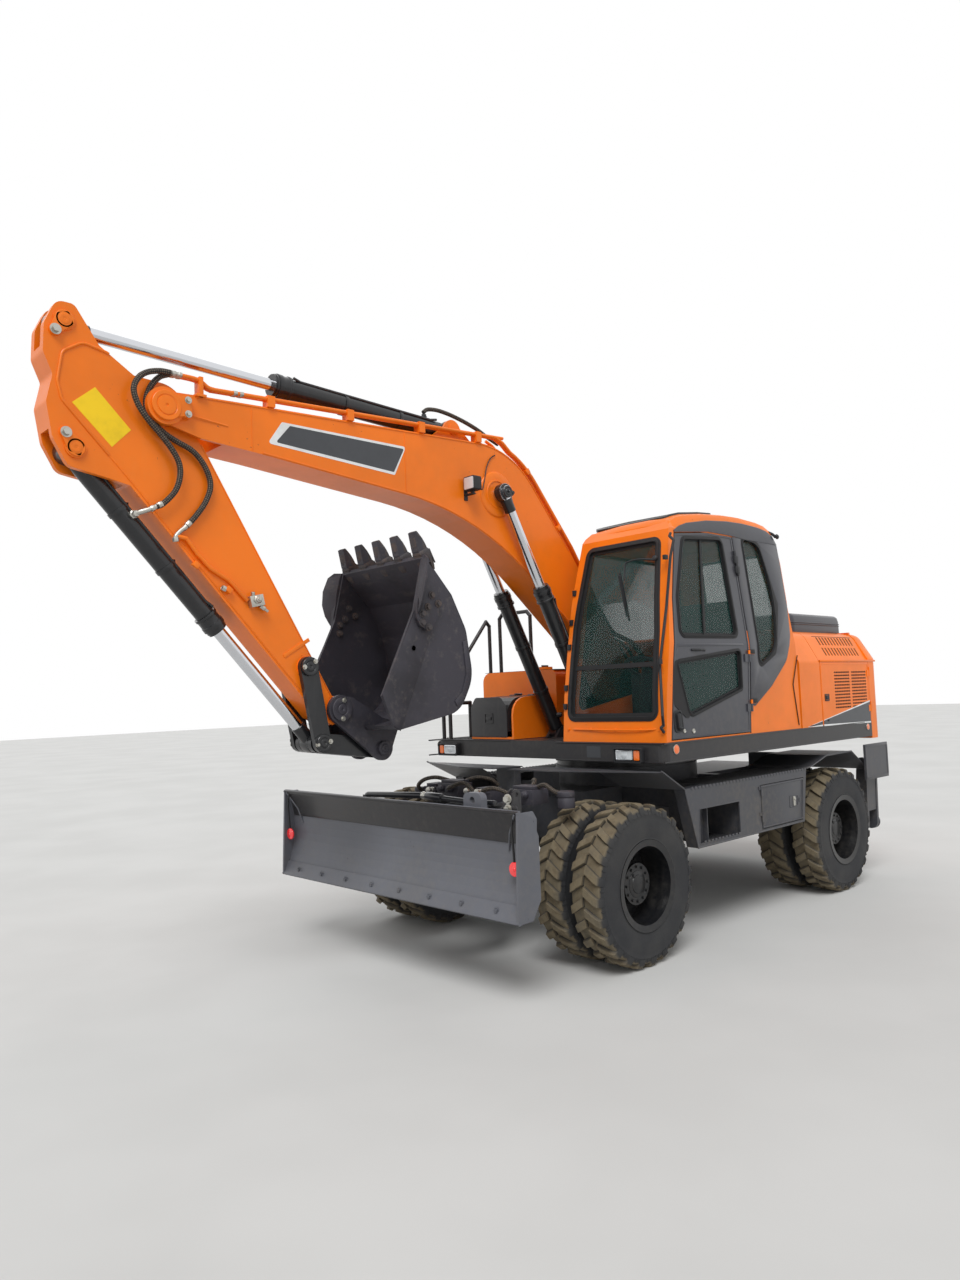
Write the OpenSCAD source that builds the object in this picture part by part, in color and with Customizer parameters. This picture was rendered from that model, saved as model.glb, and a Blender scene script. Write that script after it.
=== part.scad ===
// Wheeled excavator with twin tyres, front dozer blade and rear outriggers.
// X points forward, Y to the machine's left, Z up. Heights start at the ground.
// Side profiles are lists of [x, z] and plans lists of [x, y], with x from the slew axis.

/* [Whole machine] */
// Distance between the front and rear axle
wheelbase = 2850; // [2700:10:3000]
// Width over the twin tyres and the blade
overall_w = 2494; // [2450:2:2550]
// Distance from the slew axis forward to the middle of the overall length
mid_x = 1176; // [1100:1:1400]

/* [Wheels] */
// Outer diameter of a tyre, to the tips of its lugs
tyre_d = 1050; // [1000:2:1056]
// Width of one tyre
tyre_w = 250; // [230:1:260]
// Spacing of the twin tyres, centre to centre
dual_pitch = 320; // [300:1:330]
// Diameter of the rim flange
rim_d = 592; // [570:1:600]
// Diameter of the hub
hub_d = 270; // [240:1:300]
// Depth of the tread grooves
lug_h = 26; // [15:1:35]
// Number of lugs around one side of a tyre
lug_n = 24; // [20:1:26]

/* [Chassis] */
// Half width of the centre frame
frame_hw = 340; // [300:1:360]
// Height of the top of the slew pedestal
pedestal_z = 1185; // [1160:1:1200]
// Radius of the slew ring
ring_r = 560; // [500:1:600]
// Distance of the kingpins from the centre line
kingpin_y = 560; // [550:1:570]
// Thickness of sheet panels
sheet = 8; // [5:1:12]
// Outer face of the side steps
step_y = 1200; // [1150:1:1230]

/* [Upper structure] */
// Underside of the deck
deck_z0 = 1290; // [1285:1:1310]
// Top of the deck
deck_z1 = 1430; // [1420:1:1440]
// Half width of the deck
deck_hw = 1235; // [1200:1:1245]
// Front edge of the deck under the cab
deck_front = 1171; // [1150:1:1200]
// Rear end of the deck, where the counterweight starts
deck_rear = -2111; // [-2150:1:-2100]
// Rearmost face of the counterweight
tail_x = -2366; // [-2400:1:-2300]

/* [Cab] */
// Right side wall of the cab
cab_y0 = 296; // [290:1:320]
// Left side wall of the cab
cab_y1 = 1228; // [1200:1:1235]
// Wall thickness of the cab
cab_wall = 46; // [36:1:60]
// Thickness of the window panes
pane = 6; // [4:1:8]

/* [Boom and arm] */
// Half width of the boom box
boom_hw = 145; // [140:1:165]
// Half width of the arm
arm_hw = 95; // [90:1:126]
// Thickness of the boom and arm side plates at their forks
fork_t = 34; // [25:1:40]
// Distance of the boom cylinders from the centre line
boom_cyl_y = 215; // [210:1:220]

/* [Bucket] */
// Width of the bucket over its side plates
bucket_w = 900; // [800:10:1000]
// Thickness of the bucket shell
bucket_t = 20; // [14:1:26]
// Number of teeth
teeth_n = 5; // [4:1:6]

/* [Blade] */
// Width of the dozer blade
blade_w = 2494; // [2450:2:2494]
// Thickness of the blade sheet
blade_t = 16; // [10:1:22]

/* [Hidden] */
$fn = 64;
// Gap between moving pieces that lie face to face, gap of a pin in its eye, gap round a door
seat = 0.3;
pin_gap = 0.5;
door_gap = 6;
axle_x = wheelbase / 2;
axle_z = tyre_d / 2;
outer_y = overall_w / 2 - tyre_w / 2;
inner_y = outer_y - dual_pitch;
twin_y = (outer_y + inner_y) / 2;
// Inner face of the hubs
hub_y0 = twin_y - 145;
// Pins in side view: boom foot, boom cylinder ends, arm pivot, arm cylinder ends,
// bucket cylinder foot, side link pivot, link joint, bucket pin, bucket link pin
boom_foot = [130, 1850];
boom_cyl_foot = [612, 1470];
boom_cyl_head = [1584, 3287];
arm_pin = [4144, 3454];
arm_cyl_foot = [1959, 3721];
arm_cyl_head = [4653, 3828];
bucket_cyl_foot = [4602, 3161];
side_link_pin = [3247, 2015];
link_joint = [3159, 1544];
bucket_pin = [3020, 1746];
bucket_link_pin = [2705, 1485];
// Blade pins, in side view
blade_arm_foot = [1920, 420];
blade_arm_head = [2490, 640];
blade_link_foot = [1920, 560];
blade_link_head = [2490, 780];
blade_cyl_foot = [1905, 900];
blade_cyl_head = [2280, 610];
blade_lane = 297;
// Outrigger pins, in front view [y, z]
leg_pin = [1110, 480];
leg_cyl_foot = [400, 780];
leg_cyl_head = [1007, 627];
pad_pin = [1150, 1050];
outrigger_x = -2165;
// Lashing eyes at the rear, in side view, and their inner face
lash_eye = [-2352, 470];
lash_y = 845;

orange = "darkorange";
dark = "dimgray";
black = "black";

// A side profile from y0 to y1, a cross section from x0 to x1, a plan from z0 to z1
module along_y(y0, y1) translate([0, y1, 0]) rotate([90, 0, 0]) linear_extrude(y1 - y0) children();
module along_x(x0, x1) translate([x0, 0, 0]) rotate([90, 0, 90]) linear_extrude(x1 - x0) children();
module along_z(z0, z1) translate([0, 0, z0]) linear_extrude(z1 - z0) children();
module box(lo, hi) translate(lo) cube(hi - lo);
module both_sides() {
    children();
    mirror([0, 1, 0]) children();
}
// Everything is drawn from the slew axis and set so that the length is centred
module placed() translate([-mid_x, 0, 0]) children();
// A section [radius, y] turned about the Y axis
module spun() rotate([-90, 0, 0]) rotate_extrude() children();
// A round bar across the machine at a pin given in side view
module bar_y(p, y0, y1, d) translate([p[0], y1, p[1]]) rotate([90, 0, 0]) cylinder(h = y1 - y0, d = d);
// A round bar along the machine at a pin given in front view
module bar_x(p, x0, x1, d) translate([x0, p[0], p[1]]) rotate([0, 90, 0]) cylinder(h = x1 - x0, d = d);
function unit(v) = v / norm(v);
function angle_of(p, q) = atan2(q[1] - p[1], q[0] - p[0]);
function along(p, q, s) = p + s * unit(q - p);
// Two round ends of radius ra at a and rb at b joined by their tangents
module tapered_link(a, b, ra, rb) {
    t = angle_of(a, b);
    s = acos((ra - rb) / norm(b - a));
    translate(a) circle(ra);
    translate(b) circle(rb);
    polygon([a + ra * [cos(t + s), sin(t + s)], b + rb * [cos(t + s), sin(t + s)],
        b + rb * [cos(t - s), sin(t - s)], a + ra * [cos(t - s), sin(t - s)]]);
}
// An outline from corners [x, y, corner radius], each corner drawn as an arc
function corner(p, q, r, n) =
    let (a = unit([p[0] - q[0], p[1] - q[1]]), b = unit([r[0] - q[0], r[1] - q[1]]),
        half = acos(max(-1, min(1, a * b))) / 2,
        c = [q[0], q[1]] + unit(a + b) * q[2] / sin(half),
        t0 = c - [q[0], q[1]] - a * q[2] / tan(half),
        t1 = c - [q[0], q[1]] - b * q[2] / tan(half),
        a0 = atan2(-t0[1], -t0[0]), a1 = atan2(-t1[1], -t1[0]),
        turn = a1 - a0 > 180 ? a1 - a0 - 360 : a1 - a0 < -180 ? a1 - a0 + 360 : a1 - a0)
    [for (i = [0:n]) c + q[2] * [cos(a0 + turn * i / n), sin(a0 + turn * i / n)]];
function rounded(pts, n = 5) =
    [for (i = [0:len(pts) - 1])
        let (p = pts[(i + len(pts) - 1) % len(pts)], q = pts[i], r = pts[(i + 1) % len(pts)])
        each (len(q) < 3 || q[2] == 0) ? [[q[0], q[1]]] : corner(p, q, r, n)];
// The same outline moved inwards by d, for outlines listed anticlockwise
function inset(pts, d) =
    [for (i = [0:len(pts) - 1])
        let (p = pts[(i + len(pts) - 1) % len(pts)], q = pts[i], r = pts[(i + 1) % len(pts)],
            u = unit(q - p), v = unit(r - q), m = [-u[1], u[0]], n = [-v[1], v[0]])
        q + d * (m + n) / (1 + m * n)];

// Hydraulic cylinders, drawn along +X from the foot eye at the origin
module barrel_body(len_barrel, od, rod_d, eye_w, pin_d, eye_d) {
    difference() {
        union() {
            rotate([90, 0, 0]) cylinder(h = eye_w, d = eye_d, center = true);
            translate([eye_d / 2 - 12, 0, 0]) rotate([0, 90, 0])
                cylinder(h = len_barrel - eye_d / 2 + 12, d = od);
            translate([len_barrel - 110, 0, 0]) rotate([0, 90, 0]) cylinder(h = 110, d = od + 12);
        }
        rotate([90, 0, 0]) cylinder(h = eye_w + 2, d = pin_d + 2 * pin_gap, center = true);
        translate([eye_d / 2 + 20, 0, 0]) rotate([0, 90, 0]) cylinder(h = len_barrel, d = od - 24);
        translate([len_barrel - 60, 0, 0]) rotate([0, 90, 0]) cylinder(h = 100, d = rod_d + 1);
    }
    translate([len_barrel - 30, 0, 0]) rotate([0, 90, 0]) difference() {
        cylinder(h = 42, d = od + 4);
        translate([0, 0, -1]) cylinder(h = 44, d = rod_d + 1);
    }
}
// A rod along -X from its eye at the origin, with a solid pin through the eye
module rod_body(len_rod, rod_d, eye_w, eye_d, pin_d, pin_len) {
    rotate([90, 0, 0]) cylinder(h = eye_w, d = eye_d, center = true);
    translate([-len_rod, 0, 0]) rotate([0, 90, 0]) cylinder(h = len_rod - eye_d / 3, d = rod_d);
    translate([-eye_d / 2 - 40, 0, 0]) rotate([0, 90, 0])
        cylinder(h = eye_d / 6 + 40, d = max(rod_d + 4, eye_w - 8));
    rotate([90, 0, 0]) cylinder(h = pin_len, d = pin_d, center = true);
}
module from_to(a, b, y) translate([a[0], y, a[1]]) rotate([0, -angle_of(a, b), 0]) children();

// Chassis
frame_profile = [[-2060, 640], [-2060, 560], [-1850, 560], [-1730, 700], [-1130, 700], [-960, 600],
    [1000, 600], [1120, 760], [1730, 760], [1790, 560], [1860, 560], [1860, 980],
    [1500, 1040], [-1900, 1040], [-2060, 980]];
module chassis_frame() color(dark) placed() difference() {
    union() {
        along_y(-frame_hw, frame_hw) polygon(frame_profile);
        translate([0, 0, 1000]) cylinder(h = pedestal_z - 1000, r = ring_r + 40);
        both_sides() for (x = [-640, 460]) box([x - 40, frame_hw - 10, 900], [x + 40, 820 - seat, 1040]);
        // front ears of the blade's arms, links and cylinders, with their pins
        both_sides() {
            for (y = [240, 336]) along_y(y, y + 18) {
                polygon([[1840, 980], [1720, 760], [1720, 520], [1880, 362], [1960, 385], [1976, 440],
                    [1962, 900], [1930, 950]]);
            }
            along_y(176, 194) polygon([[1840, 640], [1840, 500], [1960, 515], [1966, 580], [1930, 610]]);
            bar_y(blade_arm_foot, 238, 356, 56);
            bar_y(blade_link_foot, 174, 260, 40);
            bar_y(blade_cyl_foot, 238, 356, 44);
        }
        // outrigger beam with its ears and pins
        box([outrigger_x - 142, -930, 400], [outrigger_x + 142, 930, 540]);
        both_sides() for (x = [-142, 122]) {
            along_x(outrigger_x + x, outrigger_x + x + 20) {
                translate(leg_pin) circle(64);
                polygon([[900, 400], [1120, 417], [1140, 540], [1050, 580], [900, 600]]);
            }
            bar_x(leg_pin, outrigger_x + x - (x < 0 ? 4 : 38), outrigger_x + x + (x < 0 ? 58 : 24), 60);
        }
        box([outrigger_x - 142, -450, 530], [outrigger_x + 142, 450, 660]);
        both_sides() for (x = [outrigger_x - 58, outrigger_x + 58])
            along_x(x - 12, x + 12) polygon([[320, 640], [480, 640], [450, 830], [350, 830]]);
        both_sides() bar_x(leg_cyl_foot, outrigger_x - 74, outrigger_x + 74, 44);
        box([outrigger_x + 50, -335, 400], [-2050, 335, 980]);
        // lashing eyes on the rear face of the beam
        both_sides() difference() {
            along_y(lash_y, lash_y + 30) tapered_link([outrigger_x - 120, lash_eye[1]], lash_eye, 56, 42);
            translate([lash_eye[0], lash_y + 40, lash_eye[1]]) rotate([90, 0, 0]) cylinder(h = 50, d = 50);
        }
    }
    // room for the axles' centre housings
    box([-axle_x - 190, -400, 0], [-axle_x + 190, 400, 735]);
}
module slew_ring() color(dark) placed() difference() {
    union() {
        translate([0, 0, pedestal_z]) cylinder(h = 60, r = ring_r + 25);
        translate([0, 0, pedestal_z + 59]) cylinder(h = deck_z0 - pedestal_z - 59.5, r = ring_r);
    }
    translate([0, 0, pedestal_z - 1]) cylinder(h = 130, r = ring_r - 110);
}
module axle_housing(x, half) {
    translate([x, half, axle_z]) rotate([90, 0, 0]) cylinder(h = 2 * half, d = 190);
    translate([x, 0, axle_z]) rotate([90, 0, 0]) cylinder(h = 300, d = 330, center = true);
    translate([x, 0, axle_z]) rotate([90, 0, 0]) cylinder(h = 520, d = 240, center = true);
}
module front_axle() color(dark) placed() difference() {
    union() {
        axle_housing(axle_x, kingpin_y - 80);
        // yokes over and under the knuckles
        both_sides() for (s = [-1, 1]) translate([axle_x, 0, axle_z + s * 125])
            linear_extrude(40, center = true) tapered_link([0, kingpin_y - 110], [0, kingpin_y], 100, 65);
        both_sides() box([axle_x - 90, kingpin_y - 160, axle_z - 140],
            [axle_x + 90, kingpin_y - 110, axle_z + 140]);
        // pivot block of the axle under the frame
        box([axle_x - 120, -110, axle_z + 100], [axle_x + 120, 110, 760 - seat]);
    }
    both_sides() translate([axle_x, kingpin_y, axle_z - 200]) cylinder(h = 400, d = 70 + 2 * pin_gap);
}
module rear_axle() color(dark) placed() {
    axle_housing(-axle_x, hub_y0);
    both_sides() box([-axle_x - 110, 190, axle_z + 60], [-axle_x + 110, 330, 735 - seat]);
}
module driveline() color(dark) placed() {
    // transmission under the frame and the shafts to both axles
    box([-330, -170, 400], [330, 170, 600 - seat]);
    translate([-axle_x + 165, 0, axle_z]) rotate([0, 90, 0]) cylinder(h = wheelbase - 330, d = 80);
    for (x = [-axle_x + 175, -360, 320, axle_x - 215]) translate([x, 0, axle_z]) rotate([0, 90, 0])
        cylinder(h = 40, d = 150);
}
module knuckle(side) mirror([0, side > 0 ? 0 : 1, 0]) {
    difference() {
        union() {
            translate([axle_x, kingpin_y, axle_z]) cylinder(h = 208, d = 120, center = true);
            translate([axle_x, hub_y0, axle_z]) rotate([90, 0, 0]) cylinder(h = hub_y0 - kingpin_y, d = 190);
        }
    }
    translate([axle_x, kingpin_y, axle_z]) cylinder(h = 290, d = 70, center = true);
    // steering arm to the rear
    difference() {
        box([axle_x - 230, kingpin_y - 20, axle_z - 70], [axle_x, kingpin_y + 50, axle_z - 30]);
        translate([axle_x - 195, kingpin_y + 15, axle_z - 80]) cylinder(h = 60, d = 30);
    }
}
module knuckle_left() color(dark) placed() knuckle(1);
module knuckle_right() color(dark) placed() knuckle(-1);

// Tyres and rims, revolved about their axle
tyre_side = [[262, 92], [262, 108], [296, 116], [360, 125], [420, 124], [470, 116]];
tyre_r = tyre_d / 2;
tyre_hw = tyre_w / 2;
// A profile of [radius, half width], mirrored about the tyre's middle
function both_walls(half) = concat(half, [for (i = [len(half) - 1:-1:0]) [half[i][0], -half[i][1]]]);
module carcass_shape() polygon(concat(
    both_walls(concat([for (p = tyre_side) [p[0], p[1] * tyre_hw / 125]], [[tyre_r - lug_h, 0.8 * tyre_hw]])),
    [[470, -0.72 * tyre_hw], [470, 0.72 * tyre_hw]]));
// Tread blocks from the middle of the crown over the shoulder, at a slant, lowered towards the shoulder.
// They are turned so that the outermost corner of one block is the tyre's lowest point.
lug_w = 70;
lug_slant = 0.62;
lug_drop = 6;
lug_gap = 6;
lug_corner = lug_w / 2 + lug_slant * lug_gap;
lug_top = sqrt(tyre_r * tyre_r - lug_corner * lug_corner);
lug_turn = atan(lug_corner / lug_top);
module lug_blocks(hand) for (i = [0:lug_n - 1])
    rotate([0, (i + (hand > 0 ? 0 : 0.5)) * 360 / lug_n - lug_turn, 0])
        translate([-lug_w / 2, 0, lug_top + lug_gap * sin(lug_drop)]) rotate([-hand * lug_drop, 0, 0])
            translate([0, 0, -lug_h - 18])
            linear_extrude(lug_h + 18) multmatrix([[1, hand * lug_slant, 0, 0], [0, 1, 0, 0], [0, 0, 1, 0]])
            translate([0, hand > 0 ? lug_gap : -0.98 * tyre_hw]) square([lug_w, 0.98 * tyre_hw - lug_gap]);
module tyre(y) translate([0, y, 0]) {
    spun() carcass_shape();
    lug_blocks(1);
    lug_blocks(-1);
}
module tyres(x, side) color("darkkhaki") placed() mirror([0, side > 0 ? 0 : 1, 0]) translate([x, 0, axle_z]) {
    tyre(outer_y);
    tyre(inner_y);
}
rim_r = rim_d / 2;
bead_r = 262;
// Rim section about the tyre's middle, [radius, y], and a wheel disc at the given y
module rim_shape(disc) {
    polygon([[bead_r - seat, -108.3], [rim_r, -116.8], [rim_r, -124], [252, -118], [246, -60], [246, 60],
        [252, 118], [rim_r, 124], [rim_r, 116.8], [bead_r - seat, 108.3]]);
    translate([85, disc - 7]) square([165, 14]);
}
module rims(x, side) color("dimgray") placed() mirror([0, side > 0 ? 0 : 1, 0]) translate([x, 0, axle_z]) {
    spun() translate([0, outer_y]) rim_shape(-100);
    spun() translate([0, inner_y]) rim_shape(100);
    // spacer between the discs, and the hub
    spun() translate([85, inner_y + 106]) square([85, dual_pitch - 212]);
    translate([0, hub_y0 + seat, 0]) rotate([-90, 0, 0]) cylinder(h = outer_y + 30 - hub_y0, d = hub_d);
}
module tyres_front_left() tyres(axle_x, 1);
module tyres_front_right() tyres(axle_x, -1);
module tyres_rear_left() tyres(-axle_x, 1);
module tyres_rear_right() tyres(-axle_x, -1);
module rims_front_left() rims(axle_x, 1);
module rims_front_right() rims(axle_x, -1);
module rims_rear_left() rims(-axle_x, 1);
module rims_rear_right() rims(-axle_x, -1);

// Side steps: a hollow box with a foot hole and, on the left, a locker
// The front edge leans back from the tread of the steered wheels
step_outline = [[-871, 1093], [-797, 667], [764, 667], [893, 1093]];
foot_hole = [[198, 695], [737, 695], [725, 934], [198, 934]];
locker_hole = [[-770, 685], [-118, 685], [-118, 1025], [-815, 1025]];
step_plan = [[-900, 820], [560, 820], [560, 1104], [920, 1104], [920, step_y], [-900, step_y]];
module step_box(locker) difference() {
    intersection() {
        along_y(800, step_y) polygon(step_outline);
        difference() {
            along_z(667, 1093) polygon(step_plan);
            for (bay = [[-790, -110], [-102, 160], [168, 552]])
                box([bay[0], 820 + sheet, 667 + sheet], [bay[1], step_y - sheet, 1093 - sheet]);
            box([560, 1104 + sheet, 667 + sheet], [742, step_y - sheet, 1093 - sheet]);
        }
    }
    along_y(step_y - 50, step_y + 10) polygon(foot_hole);
    if (locker) along_y(step_y - 50, step_y + 10) polygon(locker_hole);
}
locker_hinge = [-120.5, step_y + 7];
module side_steps() color(dark) placed() {
    step_box(true);
    for (z = [740, 940]) knuckle_z(locker_hinge, z + 50 + seat, z + 75, 12, 30, [step_y - 2, step_y + 6]);
    mirror([0, 1, 0]) step_box(false);
}
module locker_door() color(dark) placed() {
    along_y(step_y - sheet, step_y) polygon(inset(locker_hole, 5));
    for (z = [740, 940]) knuckle_z(locker_hinge, z, z + 50, 12, -30, [step_y, step_y + 6]);
    box([-745, step_y - 30, 835], [-715, step_y + 6, 865]);
}
// Fenders: sheets bent along side profiles, front ones cut slanted in plan
front_fender = [[900, 1087], [1186, 1232], [1510, 1240], [1510, 1248], [1184, 1240], [900, 1095]];
rear_fender = [[-871, 1086], [-980, 1098], [-1248, 1166], [-1732, 1170], [-2030, 994], [-2036, 1000],
    [-1736, 1178],
    [-1248, 1174], [-980, 1106], [-871, 1094]];
module fenders() color(dark) placed() both_sides() {
    intersection() {
        along_y(frame_hw - 260, 1232) polygon(front_fender);
        along_z(1080, 1260) polygon([[880, 640], [1190, 640], [1190, 80], [1510, 80], [1510, 460],
            [1190, 1232], [880, 1200]]);
    }
    along_y(640, 1200) polygon(rear_fender);
    // brackets down to the frame
    box([1195, 100, 1040], [1260, 300, 1236]);
    along_y(frame_hw + seat, 660) polygon([[-1500, 980], [-1440, 980], [-1440, 1172], [-1500, 1172]]);
}

// Blade: a curved sheet with ribs, side plates and two arms, drawn raised
blade_top = [2610, 1133];
blade_foot = [2637, 510];
blade_r = 620;
tow_eye_z = 1166;
function blade_face(d) = let (m = (blade_top + blade_foot) / 2, h = norm(blade_top - blade_foot) / 2,
    u = unit(blade_top - blade_foot), n = [u[1], -u[0]], c = m + n * sqrt(blade_r * blade_r - h * h),
    a0 = angle_of(c, blade_foot), a1 = angle_of(c, blade_top), span = a0 - a1 > 0 ? a0 - a1 : a0 - a1 + 360)
    [for (i = [0:12]) c + (blade_r + d) * [cos(a1 + span * i / 12), sin(a1 + span * i / 12)]];
module blade_section() polygon(concat(blade_face(0), [for (i = [12:-1:0]) blade_face(blade_t)[i]]));
module blade() color(dark) placed() {
    along_y(-blade_w / 2, blade_w / 2) blade_section();
    // top and bottom beams along the back
    along_y(-blade_w / 2 + 20, blade_w / 2 - 20) {
        polygon([[2470, 1020], [2560, 1020], [2600, 1130], [2560, 1110], [2470, 1080]]);
        polygon([[2500, 520], [2632, 505], [2600, 575], [2545, 582], [2500, 576]]);
    }
    both_sides() along_y(blade_w / 2 - 18, blade_w / 2)
        polygon([[2640, 508], [2612, 1135], [2500, 1090], [2450, 980], [2450, 620], [2520, 512]]);
    // lugs for the arms and links, with their pins
    both_sides() {
        for (y = [240, 336]) along_y(y, y + 18) {
            translate(blade_arm_head) circle(52);
            polygon([[2490, 588], [2575, 560], [2534, 700], [2528, 880], [2470, 824], [2440, 780],
                [2438, 640]]);
        }
        along_y(176, 194) polygon([[2450, 760], [2534, 690], [2528, 880], [2470, 822]]);
        bar_y(blade_arm_head, 238, 356, 56);
        bar_y(blade_link_head, 174, 260, 40);
    }
    // tow eye on the left of the top edge, its hole clear of the edge
    difference() {
        along_x(2480, 2530) polygon(rounded([[700, 1070], [860, 1070], [860, tow_eye_z + 46, 40],
            [700, tow_eye_z + 46, 40]]));
        translate([2470, 780, tow_eye_z]) rotate([0, 90, 0]) cylinder(h = 80, d = 45);
    }
}
// Arms and links form a parallelogram that keeps the blade upright
module blade_arms() color(dark) placed() {
    both_sides() difference() {
        union() {
            for (y = [blade_lane - 35, blade_lane + 23]) along_y(y, y + 12) {
                tapered_link(blade_arm_foot, blade_arm_head, 50, 50);
                translate(blade_cyl_head) circle(42);
            }
            from_to(blade_arm_foot, blade_arm_head, blade_lane) box([75, -34, -48], [530, 34, -34]);
        }
        bar_y(blade_arm_foot, 200, 400, 56 + 2 * pin_gap);
        bar_y(blade_arm_head, 200, 400, 56 + 2 * pin_gap);
    }
    // cross tube
    bar_y((blade_arm_foot + blade_arm_head) / 2, -blade_lane + 20, blade_lane - 20, 60);
}
module blade_links() color(dark) placed() both_sides() along_y(200, 232) difference() {
    tapered_link(blade_link_foot, blade_link_head, 36, 36);
    for (p = [blade_link_foot, blade_link_head]) translate(p) circle(d = 40 + 2 * pin_gap);
}
module blade_barrels() color(black) placed() both_sides()
    from_to(blade_cyl_foot, blade_cyl_head, blade_lane) barrel_body(380, 70, 40, 50, 44, 80);
module blade_rods() color("silver") placed() both_sides()
    from_to(blade_cyl_foot, blade_cyl_head, blade_lane)
        translate([norm(blade_cyl_head - blade_cyl_foot), 0, 0])
        rod_body(412, 40, 30, 76, 36, 44);

// Outriggers: a leg, its foot pad and its cylinder on each side
module in_front_view(a, b) translate([outrigger_x, a[0], a[1]]) rotate([0, 0, 90])
    rotate([0, -angle_of(a, b), 0]) children();
module leg() {
    difference() {
        union() {
            for (x = [-116, 84]) along_x(outrigger_x + x, outrigger_x + x + 32) {
                tapered_link(leg_pin, pad_pin + [-10, 0], 62, 45);
                tapered_link(leg_pin, leg_cyl_head, 62, 45);
            }
            along_x(outrigger_x - 100, outrigger_x + 100)
                polygon([[leg_pin[0] + 35, 600], [leg_pin[0] + 58, 600], [pad_pin[0] + 30, 960],
                    [pad_pin[0] + 8, 960]]);
        }
        bar_x(leg_pin, outrigger_x - 150, outrigger_x + 150, 60 + 2 * pin_gap);
        bar_x(pad_pin, outrigger_x - 130, outrigger_x + 130, 41);
    }
}
module pad() {
    // a flat plate that faces outwards when folded
    box([outrigger_x - 240, 1222, 900], [outrigger_x + 240, 1240, 1220]);
    for (x = [-70, 46]) along_x(outrigger_x + x, outrigger_x + x + 24)
        polygon([[1140, 1020], [1222, 960], [1222, 1140], [1140, 1080]]);
    bar_x(pad_pin, outrigger_x - 118, outrigger_x + 118, 40);
}
module outrigger_leg_left() color(dark) placed() leg();
module outrigger_leg_right() color(dark) placed() mirror([0, 1, 0]) leg();
module outrigger_pad_left() color(dark) placed() pad();
module outrigger_pad_right() color(dark) placed() mirror([0, 1, 0]) pad();
leg_cyl_len = norm(leg_cyl_head - leg_cyl_foot);
module leg_barrel() in_front_view(leg_cyl_foot, leg_cyl_head) barrel_body(450, 84, 50, 60, 44, 86);
module leg_rod() in_front_view(leg_cyl_foot, leg_cyl_head) translate([leg_cyl_len, 0, 0])
    rod_body(530, 50, 60, 84, 40, 164);
module outrigger_barrel_left() color(black) placed() leg_barrel();
module outrigger_barrel_right() color(black) placed() mirror([0, 1, 0]) leg_barrel();
module outrigger_rod_left() color("silver") placed() leg_rod();
module outrigger_rod_right() color("silver") placed() mirror([0, 1, 0]) leg_rod();

// Upper structure
deck_plan = [[deck_rear, -deck_hw], [1068, -deck_hw, 70], [1068, 252], [deck_front, 252],
    [deck_front, deck_hw, 70],
    [deck_rear, deck_hw]];
module upper_frame() color(black) placed() {
    difference() {
        along_z(deck_z0, deck_z1) polygon(rounded(deck_plan));
        along_z(deck_z0 - 1, deck_z1 - 10)
            polygon(rounded([[deck_rear + 10, -deck_hw + 10], [1058, -deck_hw + 10, 60],
            [1058, 262], [deck_front - 10, 262], [deck_front - 10, deck_hw - 10, 60],
                [deck_rear + 10, deck_hw - 10]]));
        // slots over the feet of the boom cylinders
        both_sides() box([525, 178, deck_z1 - 20], [780, 253, deck_z1 + 1]);
    }
    // main beams, ring plate and cross members under the deck
    both_sides() box([deck_rear, 130, deck_z0], [900, 160, deck_z1 - 5]);
    for (x = [-1500, -700, 800]) box([x, -deck_hw + 5, deck_z0], [x + 30, deck_hw - 5, deck_z1 - 5]);
    difference() {
        translate([0, 0, deck_z0]) cylinder(h = 30, r = ring_r + 60);
        translate([0, 0, deck_z0 - 1]) cylinder(h = 40, r = 240);
    }
    // ears of the boom foot and their pin
    difference() {
        both_sides() along_y(185, 225) {
            translate(boom_foot) circle(135);
            polygon([[boom_foot[0] + 60, boom_foot[1] + 121], [-20, boom_foot[1] + 70], [-700, deck_z1 - 5],
                [520, deck_z1 - 5], [boom_foot[0] + 130, boom_foot[1] - 40]]);
        }
        bar_y(boom_foot, -300, 300, 99);
    }
    bar_y(boom_foot, -240, 240, 100);
    // ears and pins of the boom cylinders
    both_sides() for (y = [166, 264]) along_y(y - 12, y + 12) {
        translate(boom_cyl_foot) circle(50);
        polygon([[500, deck_z1 - 15], [720, deck_z1 - 15], boom_cyl_foot + [49, 8],
            boom_cyl_foot + [-49, 8]]);
    }
    both_sides() bar_y(boom_cyl_foot, 156, 274, 70);
}
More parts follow.
